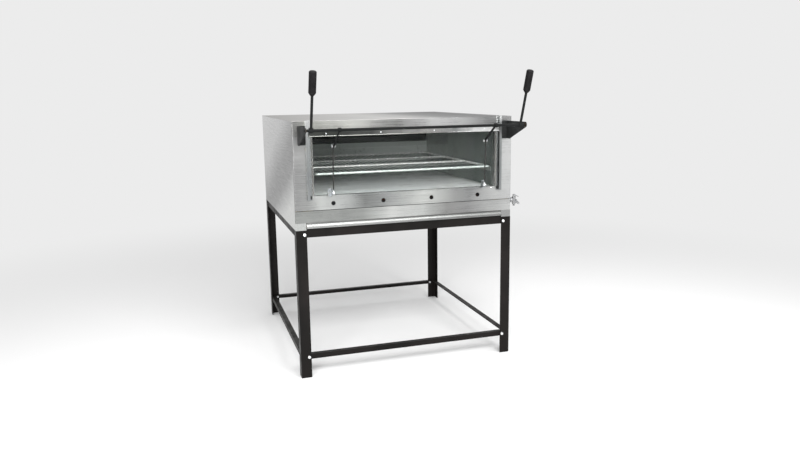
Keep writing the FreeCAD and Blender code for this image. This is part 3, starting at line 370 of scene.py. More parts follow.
def stand_nut(shape):
    """Nut on the inner side of the rail, with the end of the bolt showing two rounded threads."""
    hexagon_head(shape, bolt_flats, 0.0, 6.5)
    turned(shape, [(bolt_r, 6.0), (bolt_r, 7.0), (bolt_r * 0.92, 7.35), (bolt_r, 7.7), (bolt_r, 8.0),
                   (bolt_r * 0.8, 8.5)], 20)


head_places = []
nut_places = []
for x in (leg_low.x + stand_bolt_inset, right_high.x - stand_bolt_inset):
    for level in stand_bolt_levels:
        for face, outward in ((leg_low.y, -1), (rear_high.y, 1)):
            head_places.append(stand_on((x, face, level), (0, outward, 0)))
            inner = face - outward * (leg_metal + rail_metal)
            nut_places.append(stand_on((x, inner, level), (0, -outward, 0)))
stand_heads = piece_of("stand_bolt_heads", copies(stand_bolt, head_places), bright_zinc, "body_root")
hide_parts("stand_bolts")
stand_nuts = piece_of("stand_bolt_nuts", copies(stand_nut, nut_places), bright_zinc, "body_root")
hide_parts("stand_nuts")

# Casing. Folded sheets of brushed stainless steel. The grain of the front pieces runs across, that of
# the side sheets runs from front to rear, and wide soft bands of painted reflection, light and dark, lie
# over each sheet, with a painted highlight along its folded edges.
# The rear sheet is galvanised, with a row of louvres pressed along its foot.


def grain_group():
    """Fine parallel scratches of a brushed sheet: they are long where the stretch is small."""
    group, entry, leave = shader_group(
        "brushed grain", {"Stretch": (4.0, 900.0, 900.0)}, {"Streak": "Float", "Scratch": "Float"})
    drawn = put(group, "VectorMath", {0: coords(group), 1: entry["Stretch"]}, operation="MULTIPLY").outputs[0]
    wide = put(group, "VectorMath", {0: drawn, 1: (0.4, 0.11, 0.11)}, operation="MULTIPLY").outputs[0]
    join(group, spread(group, noise(group, drawn, 1.0, 3.0, Roughness=0.6), 0.3, 0.7), leave["Streak"])
    join(group, spread(group, noise(group, wide, 1.0, 2.0), 0.55, 0.75), leave["Scratch"])
    return group


def ripple_group():
    """Slight waviness of thin sheet between its folds."""
    group, entry, leave = shader_group(
        "sheet ripple", {"Size": 0.3, "Depth": 1.0, "Grain": 0.5}, {"Normal": "Vector"})
    wave = noise(group, coords(group), calc(group, "DIVIDE", 1.0, entry["Size"]), 0.0)
    slow = bumped(group, wave, 1.0, entry["Depth"])
    join(group, bumped(group, entry["Grain"], 0.14, 0.05 * mm, Normal=slow), leave["Normal"])
    return group


def share_group():
    """How far a point lies along a direction, from 0 at the start to 1 at the end, with a soft waver."""
    group, entry, leave = shader_group(
        "share along", {"Direction": (1, 0, 0), "Start": 0.0, "Length": 1.0, "Waver": 0.05},
        {"Share": "Float"})
    place = coords(group)
    along = dot(group, place, entry["Direction"])
    waver = times(group, calc(group, "SUBTRACT", noise(group, place, 3.0, 2.0), 0.5), entry["Waver"])
    share = calc(group, "DIVIDE", calc(group, "SUBTRACT", along, entry["Start"]), entry["Length"])
    join(group, calc(group, "ADD", share, waver, True), leave["Share"])
    return group


def spot_weld_group():
    """A row of shallow round spot welds: a dent, and the faint ring of heat round it."""
    group, entry, leave = shader_group(
        "spot welds",
        {"Across": (0, 1, 0), "Place": 0.0, "Along": (0, 0, 1), "Pitch": 0.09, "Size": 0.003},
        {"Dent": "Float", "Ring": "Float"})
    place = coords(group)
    aside = calc(group, "SUBTRACT", dot(group, place, entry["Across"]), entry["Place"])
    turn = calc(group, "FRACT", calc(group, "DIVIDE", dot(group, place, entry["Along"]), entry["Pitch"]))
    beside = times(group, calc(group, "SUBTRACT", turn, 0.5), entry["Pitch"])
    flat = put(group, "CombineXYZ", {"X": aside, "Y": beside}).outputs[0]
    away = put(group, "VectorMath", {0: flat}, operation="LENGTH").outputs["Value"]
    share = calc(group, "DIVIDE", away, entry["Size"])
    dent = spread(group, share, 1.0, 0.6)
    join(group, dent, leave["Dent"])
    join(group, calc(group, "SUBTRACT", spread(group, share, 1.7, 1.0), dent, True), leave["Ring"])
    return group


brushed_grain = grain_group()
sheet_ripple = ripple_group()
share_along = share_group()
spot_welds = spot_weld_group()


def share_of(tree, span, waver):
    """How far along a span a point lies. A span is a direction, its start and its length."""
    direction, start, length = span
    return use(tree, share_along, direction=direction, start=start, length=length, waver=waver)["Share"]


def laid_over(tree, span, bands, waver=0.06):
    """Wide bands of light and dark along a span: painted light, shade and reflections."""
    return ramp(tree, share_of(tree, span, waver), bands)


def stainless(name, span, bands, stretch, upper=None, rough=(0.24, 0.36), ripple=1.6 * mm, smears=0.05,
              spots=(), flange=None):
    """Brushed stainless sheet with wide bands of painted reflection over it, and a painted highlight on
    its folded edges. Upper is a second set of bands and the heights between which it takes over. Spots
    are the places across the sheet of its rows of spot welds. Flange is the span and the bands of the
    folded edge that looks to the front."""
    material, tree = finish_of(name, Metallic=1.0)
    # The bands are painted reflections: light and dark laid into the colour of the steel.
    band = laid_over(tree, span, bands)
    if upper:
        above, low, high = upper
        level = part_of(tree, coords(tree), "Z")
        band = blended(tree, spread(tree, level, low, high), band, laid_over(tree, span, above))
    if flange:
        facing = part_of(tree, coords(tree, "Normal"), "Y")
        band = blended(tree, calc(tree, "LESS_THAN", facing, -0.5), band, laid_over(tree, *flange))
    grain = use(tree, brushed_grain, stretch=stretch)
    streaked = blended(tree, times(tree, grain["Streak"], 0.05), band, "6f7273")
    smear = times(tree, patchy(tree, 0.11, shift=9.0, detail=5.0), smears)
    # Painted highlight: the folded edges are painted near white.
    fold_highlight = use(tree, edge_wear_and_highlight, width=0.9 * mm, patch=0.05, amount=0.6)["Mask"]
    colour = blended(tree, fold_highlight, blended(tree, smear, streaked, "85827c"), "f1f2f1")
    height = grain["Streak"]
    for place in spots:
        weld = use(tree, spot_welds, place=place, pitch=0.085)
        colour = blended(tree, times(tree, weld["Ring"], 0.3), colour, "8b7f6c")
        height = calc(tree, "SUBTRACT", height, times(tree, weld["Dent"], 4.0))
    feed(material, Base_Color=colour,
         Roughness=calc(tree, "ADD", spread(tree, grain["Streak"], 0.0, 1.0, *rough), smear),
         Normal=use(tree, sheet_ripple, size=0.28, depth=ripple, grain=height)["Normal"])
    return material


grain_x = (5.0, 850.0, 850.0)
grain_y = (850.0, 5.0, 850.0)
grain_z = (850.0, 850.0, 5.0)
front_low, front_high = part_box("front_frame")
front_span = ((1, 0, 0), front_low.x, front_high.x - front_low.x)
header_foot, header_clear = 1.150, 1.182
header_painted_reflections = [(0.0, "7d7d7c"), (0.09, "8b8c87"), (0.24, "adada9"), (0.36, "939391"), (0.47, "818180"),
                (0.62, "adadad"), (0.74, "acacac"), (0.85, "8e8f8f"), (1.0, "8c8c8c")]
# Painted reflections: bands of light and dark across the front frame, and another set over its header.
dress(stainless("front frame steel", front_span, [
    (0.0, "8e8e8e"), (0.06, "939493"), (0.12, "b3b5b3"), (0.21, "a9abaa"), (0.30, "7c7e7d"), (0.42, "999b9a"),
    (0.57, "c5c7c4"), (0.72, "989998"), (0.80, "8e8f8f"), (0.92, "bdbebd"), (1.0, "c3c4c4")], grain_x,
    upper=(header_painted_reflections, header_foot, header_clear)), "front_frame")
# Painted reflections: bands of light and dark across the base strip.
dress(stainless("base strip steel", front_span, [
    (0.0, "8e908e"), (0.29, "8e908e"), (0.36, "a9aba9"), (0.43, "c3c4c2"), (0.57, "babcba"), (0.68, "8b8b8a"),
    (0.80, "939393"), (0.91, "afb0af"), (1.0, "c2c3c2")], grain_x), "base_strip")
tray_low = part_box("base_tray")[0]
# Painted light and shade on the lip: light along its lower edge, darker grey above it.
lip_painted_light = [(0.0, "9a9b9a"), (0.3, "8f908f"), (0.6, "808180"), (0.8, "858685"), (1.0, "7c7d7c")]
lip_painted_shade = [(0.0, "686968"), (0.3, "585958"), (0.6, "5e5f5e"), (0.8, "525352"), (1.0, "5a5b5a")]
dress(stainless("bottom tray steel", front_span, lip_painted_light, grain_x,
                upper=(lip_painted_shade, tray_low.z + 8 * mm, tray_low.z + 19 * mm), rough=(0.3, 0.4)), "base_tray")
side_low, side_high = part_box("side_casing_left")
side_lean = 0.4
side_fold = 9 * mm
side_span = ((0.0, side_lean, 1.0), side_low.z + side_lean * side_low.y,
             side_high.z - side_low.z + side_lean * (side_high.y - side_low.y))
# Painted reflections: diagonal bands of light and dark over the side sheets, and paler bands on their front
# flanges.
dress(stainless("side casing steel", side_span, [
    (0.0, "d6d8d5"), (0.17, "cfd0ce"), (0.25, "abacab"), (0.32, "7c7c7c"), (0.39, "747474"), (0.47, "7e7e7e"),
    (0.55, "9a9a9a"), (0.66, "bababa"), (1.0, "cacaca")], grain_y, ripple=0.3 * mm, smears=0.01,
    spots=(side_low.y + side_fold, side_high.y - side_fold),
    flange=(front_span, [(0.0, "b6b8b6"), (1.0, "9e9f9e")])), "side_casing_left", "side_casing_right")
# Painted reflections: bands of light and dark across the top, darkest towards the right.
dress(stainless("top panel steel", front_span, [
    (0.0, "969593"), (0.2, "a6a5a3"), (0.45, "b6b5b3"), (0.58, "a8a7a6"), (0.72, "7c7c7c"), (0.9, "666666"),
    (1.0, "7c7c7c")], grain_y, rough=(0.44, 0.54), smears=0.03), "top_panel")
rear_zinc = zinc_plate("galvanised rear sheet", "b3b7b9", 0.3, 0.5, 9 * mm)
dress(rear_zinc, "rear_panel")
rear_sheet_low, rear_sheet_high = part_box("rear_panel")
louvre_count = 9
louvre_pitch = 101.8 * mm
louvre_reach = 50 * mm
louvre_foot = 796 * mm
hood_depth = 7 * mm
hood_height = 15 * mm
hood_gap = 0.3 * mm


def louvre_hood(shape, x):
    """Hood pressed out of the rear sheet over one of its slots, open below, with rounded ends."""
    steps = 6
    rows = []
    for along in (-1.0, -0.94, -0.85, -0.6, 0.0, 0.6, 0.85, 0.94, 1.0):
        lift = min(1.0, 2.2 * math.sqrt(1.0001 - abs(along)))
        row = []
        for step in range(steps + 1):
            turn = math.pi / 2 * step / steps
            out = rear_sheet_high.y + hood_gap + hood_depth * lift * math.sin(turn)
            level = louvre_foot + hood_height * (0.35 + 0.65 * lift) * math.cos(turn)
            row.append(shape.verts.new((x + along * louvre_reach, out, level)))
        rows.append(row)
    for left, right in zip(rows, rows[1:]):
        for i in range(steps):
            shape.faces.new((left[i], right[i], right[i + 1], left[i + 1]))


hoods = bmesh.new()
rear_middle = (rear_sheet_low.x + rear_sheet_high.x) / 2
for i in range(louvre_count):
    louvre_hood(hoods, rear_middle + (i - (louvre_count - 1) / 2) * louvre_pitch)
bmesh.ops.recalc_face_normals(hoods, faces=hoods.faces)
bmesh.ops.solidify(hoods, geom=hoods.faces[:], thickness=0.9 * mm)
piece_of("rear_louvre_hoods", hoods, rear_zinc, "body_root")

# Chamber. Walls, ceiling and flue throat of thinner steel that heat has dulled and tinted, and a thick
# loose floor plate. Baked grease has left brown spots. Painted light and shade lie over the walls,
# ceiling and floor, and the throat is painted near black as shade.


def heat_tint_group():
    """Straw, purple and blue oxide colours over steel, by how hot a place has been."""
    group, entry, leave = shader_group(
        "heat tint", {"Steel": (0.3, 0.3, 0.3, 1.0), "Heat": 0.5, "Amount": 0.5}, {"Colour": "Color"})
    cloud = noise(group, coords(group), 7.0, 4.0)
    uneven = calc(group, "ADD", entry["Heat"], spread(group, cloud, 0.3, 0.7, -0.22, 0.22), True)
    oxide = ramp(group, uneven, [
        (0.0, "d9dbd9"), (0.35, "c9bda0"), (0.55, "a68d7c"), (0.75, "77808c"), (1.0, "6b665f")])
    join(group, blended(group, entry["Amount"], entry["Steel"], oxide, "MULTIPLY"), leave["Colour"])
    return group


heat_tint = heat_tint_group()


def oven_sheet(name, span, bands, rough, heat, amount, metallic=0.25):
    """Dull steel inside the chamber, tinted by heat, spotted with baked grease, with bands of painted light
    and shade.
    """
    material, tree = finish_of(name, Metallic=metallic, Specular_IOR_Level=0.3)
    streak = use(tree, brushed_grain, stretch=grain_x)["Streak"]
    streaked = blended(tree, times(tree, streak, 0.12), laid_over(tree, span, bands, 0.12), "3c4141")
    tinted = use(tree, heat_tint, steel=streaked, heat=heat, amount=amount)["Colour"]
    spot = patchy(tree, 0.012, shift=4.0, detail=2.0)
    place = patchy(tree, 0.14, shift=2.0, detail=3.0)
    grease = times(tree, spread(tree, spot, 0.75, 1.0), spread(tree, place, 0.5, 1.0))
    gloss = spread(tree, streak, 0.0, 1.0, rough - 0.05, rough + 0.05)
    feed(material, Base_Color=blended(tree, times(tree, grease, 0.5), tinted, "2c211a"),
         Roughness=calc(tree, "ADD", gloss, times(tree, place, 0.1)),
         Normal=use(tree, sheet_ripple, size=0.22, depth=1.2 * mm, grain=streak)["Normal"])
    return material


chamber_low, chamber_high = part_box("chamber_rear_wall")
hearth_low, hearth_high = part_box("hearth_plate")
chamber_width = ((1, 0, 0), chamber_low.x, chamber_high.x - chamber_low.x)
chamber_depth = ((0, 1, 0), hearth_low.y, hearth_high.y - hearth_low.y)
# Painted light: the rear sheet is painted lighter towards the right.
dress(oven_sheet("chamber rear sheet", chamber_width, [
    (0.0, "a5adaa"), (0.4, "b4bbb8"), (1.0, "c9d0cd")], 0.42, 0.3, 0.1), "chamber_rear_wall")
# Painted shade: the side sheets are painted dark towards the front and lighter towards the rear.
dress(oven_sheet("chamber side sheet", chamber_depth, [
    (0.0, "545b59"), (0.2, "707876"), (0.45, "9ba3a0"), (1.0, "b3bab7")], 0.4, 0.4, 0.15),
    "chamber_left_wall", "chamber_right_wall")
# Painted shade: the ceiling is painted darker towards the rear.
dress(oven_sheet("chamber ceiling sheet", chamber_depth, [
    (0.0, "5d6462"), (1.0, "3a3f3e")], 0.5, 0.6, 0.4), "chamber_ceiling")
# Painted shade: the throat is painted near black, darkest at its left end.
dress(oven_sheet("shaded throat", chamber_width, [
    (0.0, "131413"), (0.5, "1b1d1c"), (0.8, "282b2a"), (1.0, "252827")], 0.75, 0.9, 0.3, 0.1),
    "flue_collector")
# Painted shade: the rack rails are painted darker towards the rear.
dress(oven_sheet("rack rail steel", chamber_depth, [
    (0.0, "9aa09e"), (1.0, "7d8482")], 0.4, 0.3, 0.3), "rack_rails")


def floor_plate():
    """Loose plate, scratched and stained, with painted light over its front and painted shade towards the
    rear.
    """
    material, tree = finish_of("floor plate steel", Metallic=0.15, Specular_IOR_Level=0.5)
    # Painted light and shade: brightest right of middle at the front, darker along the right wall and towards
    # the rear.
    bright = laid_over(tree, chamber_width, [
        (0.0, "e3e8e6"), (0.4, "e6ebea"), (0.75, "f3f6f5"), (0.95, "eff2f1"), (1.0, "b9bfbc")])
    dark = laid_over(tree, chamber_width, [(0.0, "7b8481"), (0.6, "909996"), (1.0, "7b8280")])
    shade = blended(tree, spread(tree, share_of(tree, chamber_depth, 0.2), 0.62, 0.9), bright, dark)
    grain = use(tree, brushed_grain, stretch=grain_x)
    scratched = blended(tree, times(tree, grain["Scratch"], 0.25), shade, "e8ebea")
    stain = patchy(tree, 0.09, shift=6.0, detail=6.0)
    brown = times(tree, spread(tree, stain, 0.6, 1.0), 0.25)
    feed(material, Base_Color=blended(tree, brown, scratched, "6b6253"),
         Roughness=spread(tree, stain, 0.0, 1.0, 0.32, 0.5),
         Normal=use(tree, sheet_ripple, size=0.3, depth=0.8 * mm, grain=grain["Streak"])["Normal"])
    return material


dress(floor_plate(), "hearth_plate")

# Mineral wool. Slabs of yellow-brown fibre, cut with a knife and pressed between the chamber and the
# casing at the sides, the rear and the top. They lie in layers, with loose ends on every face.


def wool_finish():
    """Matted fibre, paler where it stands up."""
    material, tree = finish_of("mineral wool", Roughness=0.95, Sheen_Weight=0.3)
    place = coords(tree)
    fibre = noise(tree, place, 260.0, 8.0, Distortion=2.5)
    layer = noise(tree, place, 18.0, 3.0)
    tone = calc(tree, "ADD", times(tree, fibre, 0.7), times(tree, layer, 0.3))
    feed(material, Base_Color=ramp(tree, tone, [(0.3, "8a7446"), (0.5, "c2ab73"), (0.7, "dccb9b")]),
         Normal=bumped(tree, fibre, 0.8, 2 * mm))
    return material


dress(wool_finish(), "insulation_sides", "insulation_rear", "insulation_top")

# Burners. Ported tubes of blued steel on two angle bearers, specked with rust, over a grey gas pipe with
# brass jets screwed into it.


def scaled_steel(name, cold, hot, rough, rust):
    """Oxidised steel with spots of rust."""
    material, tree = finish_of(name, Metallic=0.6)
    tone = patchy(tree, 0.05, detail=5.0)
    spots = patchy(tree, 0.011, shift=6.0, detail=5.0)
    rusty = times(tree, spread(tree, spots, 0.6, 1.0), rust)
    feed(material, Base_Color=blended(tree, rusty, blended(tree, tone, cold, hot), "6e3f22"),
         Roughness=calc(tree, "ADD", rough, times(tree, rusty, 0.35)),
         Normal=bumped(tree, spots, 0.3, 0.3 * mm))
    return material


dress(scaled_steel("blued burner steel", "34363c", "4d4a49", 0.45, 0.6), "burner_tubes")
dress(scaled_steel("bearer steel", "3b3a39", "55524f", 0.5, 0.45), "burner_bearers")
dress(scaled_steel("gas pipe steel", "6a6c6e", "85878a", 0.4, 0.15), "gas_manifold")


def turned_metal(name, shade, dull, rough):
    """Turned fitting: a fine grain from the tool, and tarnish away from its rubbed edges."""
    material, tree = finish_of(name, Metallic=1.0)
    tarnish = patchy(tree, 0.008, detail=4.0)
    edge = use(tree, edge_wear_and_highlight, width=0.6 * mm, patch=0.004, amount=0.8)["Mask"]
    worn = calc(tree, "SUBTRACT", times(tree, tarnish, 0.6), edge, True)
    feed(material, Base_Color=blended(tree, worn, shade, dull),
         Roughness=spread(tree, tarnish, 0.0, 1.0, rough, rough + 0.2),
         Normal=bumped(tree, noise(tree, coords(tree), 900.0, 2.0), 0.1, 0.1 * mm))
    return material


dress(turned_metal("jet brass", "c9a253", "6d5126", 0.25), "gas_jets")

# Gas cock. Nickelled brass body screwed on the pipe, with a tapered plug, a wing key and a ridged
# hose nozzle.
cock_metal = turned_metal("nickelled brass", "b9babc", "64625f", 0.22)
dress(cock_metal, "gas_cock_body", "gas_cock_key", "gas_cock_nut")

# Rack. A frame of thick chromed wire with cross bars, and fine wires welded under it before plating.
# The chrome is bright on the thick wire, painted brighter towards the rear as light, and dull and grey
# on the fine one; that grey also paints a thin shade along the undersides of the thick wire.
rack_low, rack_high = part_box("oven_rack")
rack_wire_r = 5.5 * mm
rack_level = rack_high.z - rack_wire_r


def chrome_wire():
    """Chrome that heat has hazed, painted brighter towards the rear, and dull grey below the thick wires."""
    material, tree = finish_of("rack chrome", Metallic=0.4, Specular_IOR_Level=0.8)
    heat = patchy(tree, 0.16, shift=2.5, low=0.0, high=0.5)
    # Painted light: the thick wire is painted darker at the front and white towards the rear.
    shade = laid_over(tree, chamber_depth, [
        (0.0, "aeb7b4"), (0.08, "c9d2cf"), (0.2, "fafdfb"), (1.0, "ffffff")])
    thick = use(tree, heat_tint, steel=shade, heat=heat, amount=0.1)["Colour"]
    level = part_of(tree, coords(tree), "Z")
    # The grey below this level is the colour of the fine wires, and painted shade on the thick wire's
    # underside.
    under = spread(tree, level, rack_level - 4.2 * mm, rack_level - 5.0 * mm)
    feed(material, Base_Color=blended(tree, under, thick, "5c6461"),
         Roughness=patchy(tree, 0.01, shift=7.0, low=0.15, high=0.3))
    return material


rack_chrome = chrome_wire()
dress(rack_chrome, "oven_rack")
rack_fine_pitch = 28 * mm
rack_fine_reach = 15
rack_bars = 4
rack_middle = (rack_low.x + rack_high.x) / 2
first_bar = rack_low.y + rack_wire_r
bar_pitch = (rack_high.y - rack_low.y - 2 * rack_wire_r) / (rack_bars - 1)
nugget_level = rack_level - rack_wire_r + 0.2 * mm


def weld_nugget(shape):
    """Squeezed metal beside a resistance weld, flatter than it is wide."""
    bmesh.ops.create_icosphere(shape, subdivisions=1, radius=2.6 * mm)
    for vertex in shape.verts:
        vertex.co.y *= 1.25
        vertex.co.z *= 0.55


nugget_places = []
for bar in range(rack_bars):
    for wire in range(-rack_fine_reach, rack_fine_reach + 1):
        place = (rack_middle + wire * rack_fine_pitch, first_bar + bar * bar_pitch, nugget_level)
        nugget_places.append(Matrix.Translation(place))
piece_of("rack_weld_nuggets", copies(weld_nugget, nugget_places), rack_chrome, "rack", 180.0)

# Door guides. Channels folded from stainless strip, open to the middle. Short weld beads, blued by
# their heat, hold each one to the front frame. Each channel is painted bright towards its top, as light,
# and grey below, as shade.
guide_low, guide_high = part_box("door_guide_left")
guide_span = ((0, 0, 1), guide_low.z, guide_high.z - guide_low.z)
# Painted light and shade: the channels are grey below and painted bright towards their tops.
dress(stainless("guide steel", guide_span, [
    (0.0, "929596"), (0.3, "888b8c"), (0.62, "8e9191"), (0.84, "a2a4a4"), (0.9, "c1c3c3"), (1.0, "c9caca")],
    grain_z, rough=(0.2, 0.32), ripple=0.4 * mm), "door_guide_left", "door_guide_right")


def weld_bead(shape, start, end, radius):
    """Fillet weld: a rounded bead with the overlapping scallops that the torch leaves."""
    start = Vector(start)
    run = Vector(end) - start
    along = run.normalized()
    side = along.orthogonal().normalized()
    other = along.cross(side)
    steps = max(8, int(run.length / (radius * 0.22)))
    rings = []
    for i in range(steps + 1):
        share = i / steps
        scallop = 0.86 + 0.14 * abs(math.sin(share * steps * 0.55))
        taper = min(1.0, 0.35 + 6 * min(share, 1 - share))
        wander = radius * 0.12 * math.sin(share * 9.0 + start.z * 50)
        thick = radius * scallop * taper
        rings.append(ring_round(shape, start + run * share + side * wander, side * thick, other * thick, 8))
    skin(shape, rings)


def weld_finish():
    """Stainless weld metal, grey on its crown, with straw and blue at its foot."""
    material, tree = finish_of("stainless weld", Metallic=0.9)
    heat = patchy(tree, 0.006, shift=1.0, detail=2.0)
    feed(material, Base_Color=use(tree, heat_tint, steel="b9bcbc", heat=heat, amount=0.8)["Colour"],
         Roughness=spread(tree, heat, 0.0, 1.0, 0.3, 0.5))
    return material


guide_beads = bmesh.new()
bead_r = 1.3 * mm
bead_length = 22 * mm
for x, outward in ((guide_low.x, -1), (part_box("door_guide_right")[1].x, 1)):
    for share in (0.06, 0.36, 0.62):
        level = guide_low.z + share * (guide_high.z - guide_low.z)
        foot = (x + outward * bead_r / 2, front_low.y - bead_r / 2)
        weld_bead(guide_beads, (*foot, level), (*foot, level + bead_length), bead_r)
piece_of("door_guide_welds", guide_beads, weld_finish(), "body_root", 60.0)

# Weld beads of the stand. Short upright fillet welds join each side rail to the edge of a leg, at the
# top and near the floor. They are run by hand, so they scallop and wander, and they lie under the paint.
stand_beads = bmesh.new()
stand_bead_r = 2.6 * mm
stand_bead_sunk = 0.45 * stand_bead_r
stand_bead_gap = 3 * mm
for corner, side in corners:
    corner_low, corner_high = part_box("stand_leg_" + corner)
    toe, onward = (corner_high.y, 1) if corner.startswith("front") else (corner_low.y, -1)
    for level in ("top", "low"):
        side_rail_low, side_rail_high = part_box(f"stand_{level}_rail_{side}")
        face, outward = (side_rail_low.x, -1) if side == "left" else (side_rail_high.x, 1)
        foot = (face + outward * stand_bead_sunk, toe + onward * stand_bead_sunk)
        upper = min(side_rail_high.z, corner_high.z) - stand_bead_gap
        weld_bead(stand_beads, (*foot, side_rail_low.z + stand_bead_gap), (*foot, upper), stand_bead_r)
piece_of("stand_weld_beads", stand_beads, stand_black, "body_root", 60.0)

# Door seals. Three-strand ropes of heat-proof fibre, laid down both jambs and glued behind the edges of
# the glass. The strands are pale on their crowns, and the hollows between them are painted dark as shade.
seal_low, seal_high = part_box("door_seal_ropes")
seal_middle = (seal_low + seal_high) / 2
seal_r = (seal_high.y - seal_low.y) / 2


def rope_finish():
    """Pale fibre on the crowns of the strands, painted shade in the hollows between them."""
    material, tree = finish_of("seal rope", Roughness=0.9, Sheen_Weight=0.4)
    place = coords(tree)
    yarn = noise(tree, place, 900.0, 6.0, Distortion=1.5)
    scorch = patchy(tree, 0.07, shift=8.0, detail=4.0)
    pale = ramp(tree, yarn, [(0.3, "74736f"), (0.55, "a8a7a2"), (0.7, "dfded9")])
    worn = blended(tree, times(tree, scorch, 0.5), pale, "4a4641")
    beside = calc(tree, "ABSOLUTE", calc(tree, "SUBTRACT", part_of(tree, place, "X"), seal_middle.x))
    beside = calc(tree, "SUBTRACT", beside, (seal_high.x - seal_low.x) / 2 - seal_r)
    before = calc(tree, "SUBTRACT", part_of(tree, place, "Y"), seal_middle.y)
    across = put(tree, "CombineXYZ", {"X": beside, "Y": before}).outputs[0]
    from_core = put(tree, "VectorMath", {0: across}, operation="LENGTH").outputs["Value"]
    crown = spread(tree, from_core, 0.84 * seal_r, 0.99 * seal_r)
    # Painted shade: the hollows between the strands, inside their crowns, are painted near black.
    feed(material, Base_Color=blended(tree, crown, "1d1c1a", worn),
         Normal=bumped(tree, yarn, 0.6, 0.5 * mm))
    return material


def rope(shape, x):
    """Three strands laid round each other in a right-hand lay."""
    strands = 3
    round_of_three = 2.155
    strand_r = seal_r / round_of_three
    lay_r = seal_r - strand_r
    lay_length = 60 * mm
    rings_per_lay = 24
    end_gap = 1.0 * mm
    count = int((seal_high.z - seal_low.z) / lay_length * rings_per_lay)
    rise = (seal_high.z - seal_low.z - 2 * end_gap) / count
    lean = lay_r * 2 * math.pi / lay_length
    for strand in range(strands):
        rings = []
        for i in range(count + 1):
            turn = 2 * math.pi * (i / rings_per_lay + strand / strands)
            outward = Vector((math.cos(turn), math.sin(turn), 0))
            centre = Vector((x, seal_middle.y, seal_low.z + end_gap + i * rise)) + outward * lay_r
            forward = Vector((-math.sin(turn) * lean, math.cos(turn) * lean, 1.0)).normalized()
            sideways = forward.cross(outward)
            rings.append(ring_round(shape, centre, outward * strand_r, sideways * strand_r, 9))
        skin(shape, rings)


ropes = bmesh.new()
rope(ropes, seal_low.x + seal_r)
rope(ropes, seal_high.x - seal_r)
seals = piece_of("door_seal_strands", ropes, rope_finish(), "body_root")
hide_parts("door_seal_ropes")

# Door. A pane of tempered glass with ground edges. It is clear with a slight green cast, with faint
# finger marks. A folded stainless trim with a beaded lower edge is riveted over its top edge, and two
# bright zinc clips hold its bottom edge.


def pane_finish():
    """Clear glass, smeared by fingers in a few places."""
    material, tree = finish_of("tempered glass", Base_Color="f2f8f5", Transmission_Weight=1.0, IOR=1.5,
                               Alpha=0.15)
    mark = patchy(tree, 0.03, shift=3.0, detail=5.0)
    feed(material, Roughness=spread(tree, mark, 0.7, 1.0, 0.0, 0.05))
    return material


dress(pane_finish(), "door_glass")
trim_low, trim_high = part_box("door_top_trim")
trim_span = ((1, 0, 0), trim_low.x, trim_high.x - trim_low.x)
bead_high = trim_low.z + 3.6 * mm
# Painted light, shade and reflections on the trim: bands along its face and bead, dark left, bright right.
trim_face_painted_light = [(0.0, "50524f"), (0.12, "424441"), (0.30, "4d4f4e"), (0.40, "848482"), (0.50, "8f8f8d"),
             (0.62, "a3a2a0"), (0.76, "949695"), (0.86, "dcdddc"), (1.0, "f3f4f3")]
trim_bead_painted_light = [(0.0, "93948f"), (0.25, "9fa09c"), (0.42, "969693"), (0.56, "6b6966"), (0.70, "5a5a59"),
             (0.82, "c3c4c4"), (1.0, "d5d6d6")]
dress(stainless("door trim steel", trim_span, trim_bead_painted_light, grain_x,
                upper=(trim_face_painted_light, bead_high - 0.4 * mm, bead_high + 0.6 * mm),
                rough=(0.16, 0.26), ripple=0.6 * mm), "door_top_trim")
rivet_face = trim_low.y + 2.1 * mm
rivet_level = trim_low.z + 12.5 * mm


def trim_rivet(shape):
    """Domed rivet head with a small flat crown."""
    turned(shape, [(3.0, 0.0), (3.1, 0.25), (2.7, 0.8), (1.9, 1.2), (0.9, 1.35)], 20)


rivet_places = []
for share in (0.085, 0.36, 0.64, 0.915):
    place = (trim_low.x + share * (trim_high.x - trim_low.x), rivet_face, rivet_level)
    rivet_places.append(stand_on(place, (0, -1, 0)))
piece_of("door_trim_rivets", copies(trim_rivet, rivet_places), bright_zinc, "door")
dress(zinc_plate("clip zinc", "b4b8ba", 0.22, 0.38, 1.5 * mm), "door_clips")

# Door lift. Black brackets screwed to the posts carry a black shaft with two levers and two crank
# arms. Thin dark rods with bright ends hang from the arms on zinc bolts, and lift the glass by its clips.
lift_black = black_paint("lift satin black", ("222323", "2c2d2d"), "585958", (0.45, 0.6), 0.25, 0.05)
dress(lift_black, "lift_bracket_left", "lift_bracket_right", "door_rests")
# Painted shade: the shaft, crank arms and levers take the brackets' paint, painted darker.
lever_black_shaded = black_paint("lever satin black in painted shade", ("131414", "1b1c1c"), "585958", (0.4, 0.55), 0.3, 0.05)
dress(lever_black_shaded, "lift_shaft", "crank_arms", "lever_left", "lever_right")
dress(turned_metal("oiled bronze", "4a3d2c", "241d16", 0.4), "shaft_bushes")


def rod_finish():
    """Cold-drawn rod, darkened by oil, with its lower end plated bright."""
    material, tree = finish_of("lift rod steel", Metallic=0.8)
    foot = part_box("lift_rod_left")[0].z
    bright = spread(tree, part_of(tree, coords(tree), "Z"), foot + 24 * mm, foot + 17 * mm)
    film = patchy(tree, 0.03, shift=2.0, detail=4.0)
    dark = blended(tree, film, "252524", "3d3c3a")
    feed(material, Base_Color=blended(tree, bright, dark, "dfe2e3"),
         Roughness=spread(tree, film, 0.0, 1.0, 0.3, 0.45))
    return material


dress(rod_finish(), "lift_rod_left", "lift_rod_right")


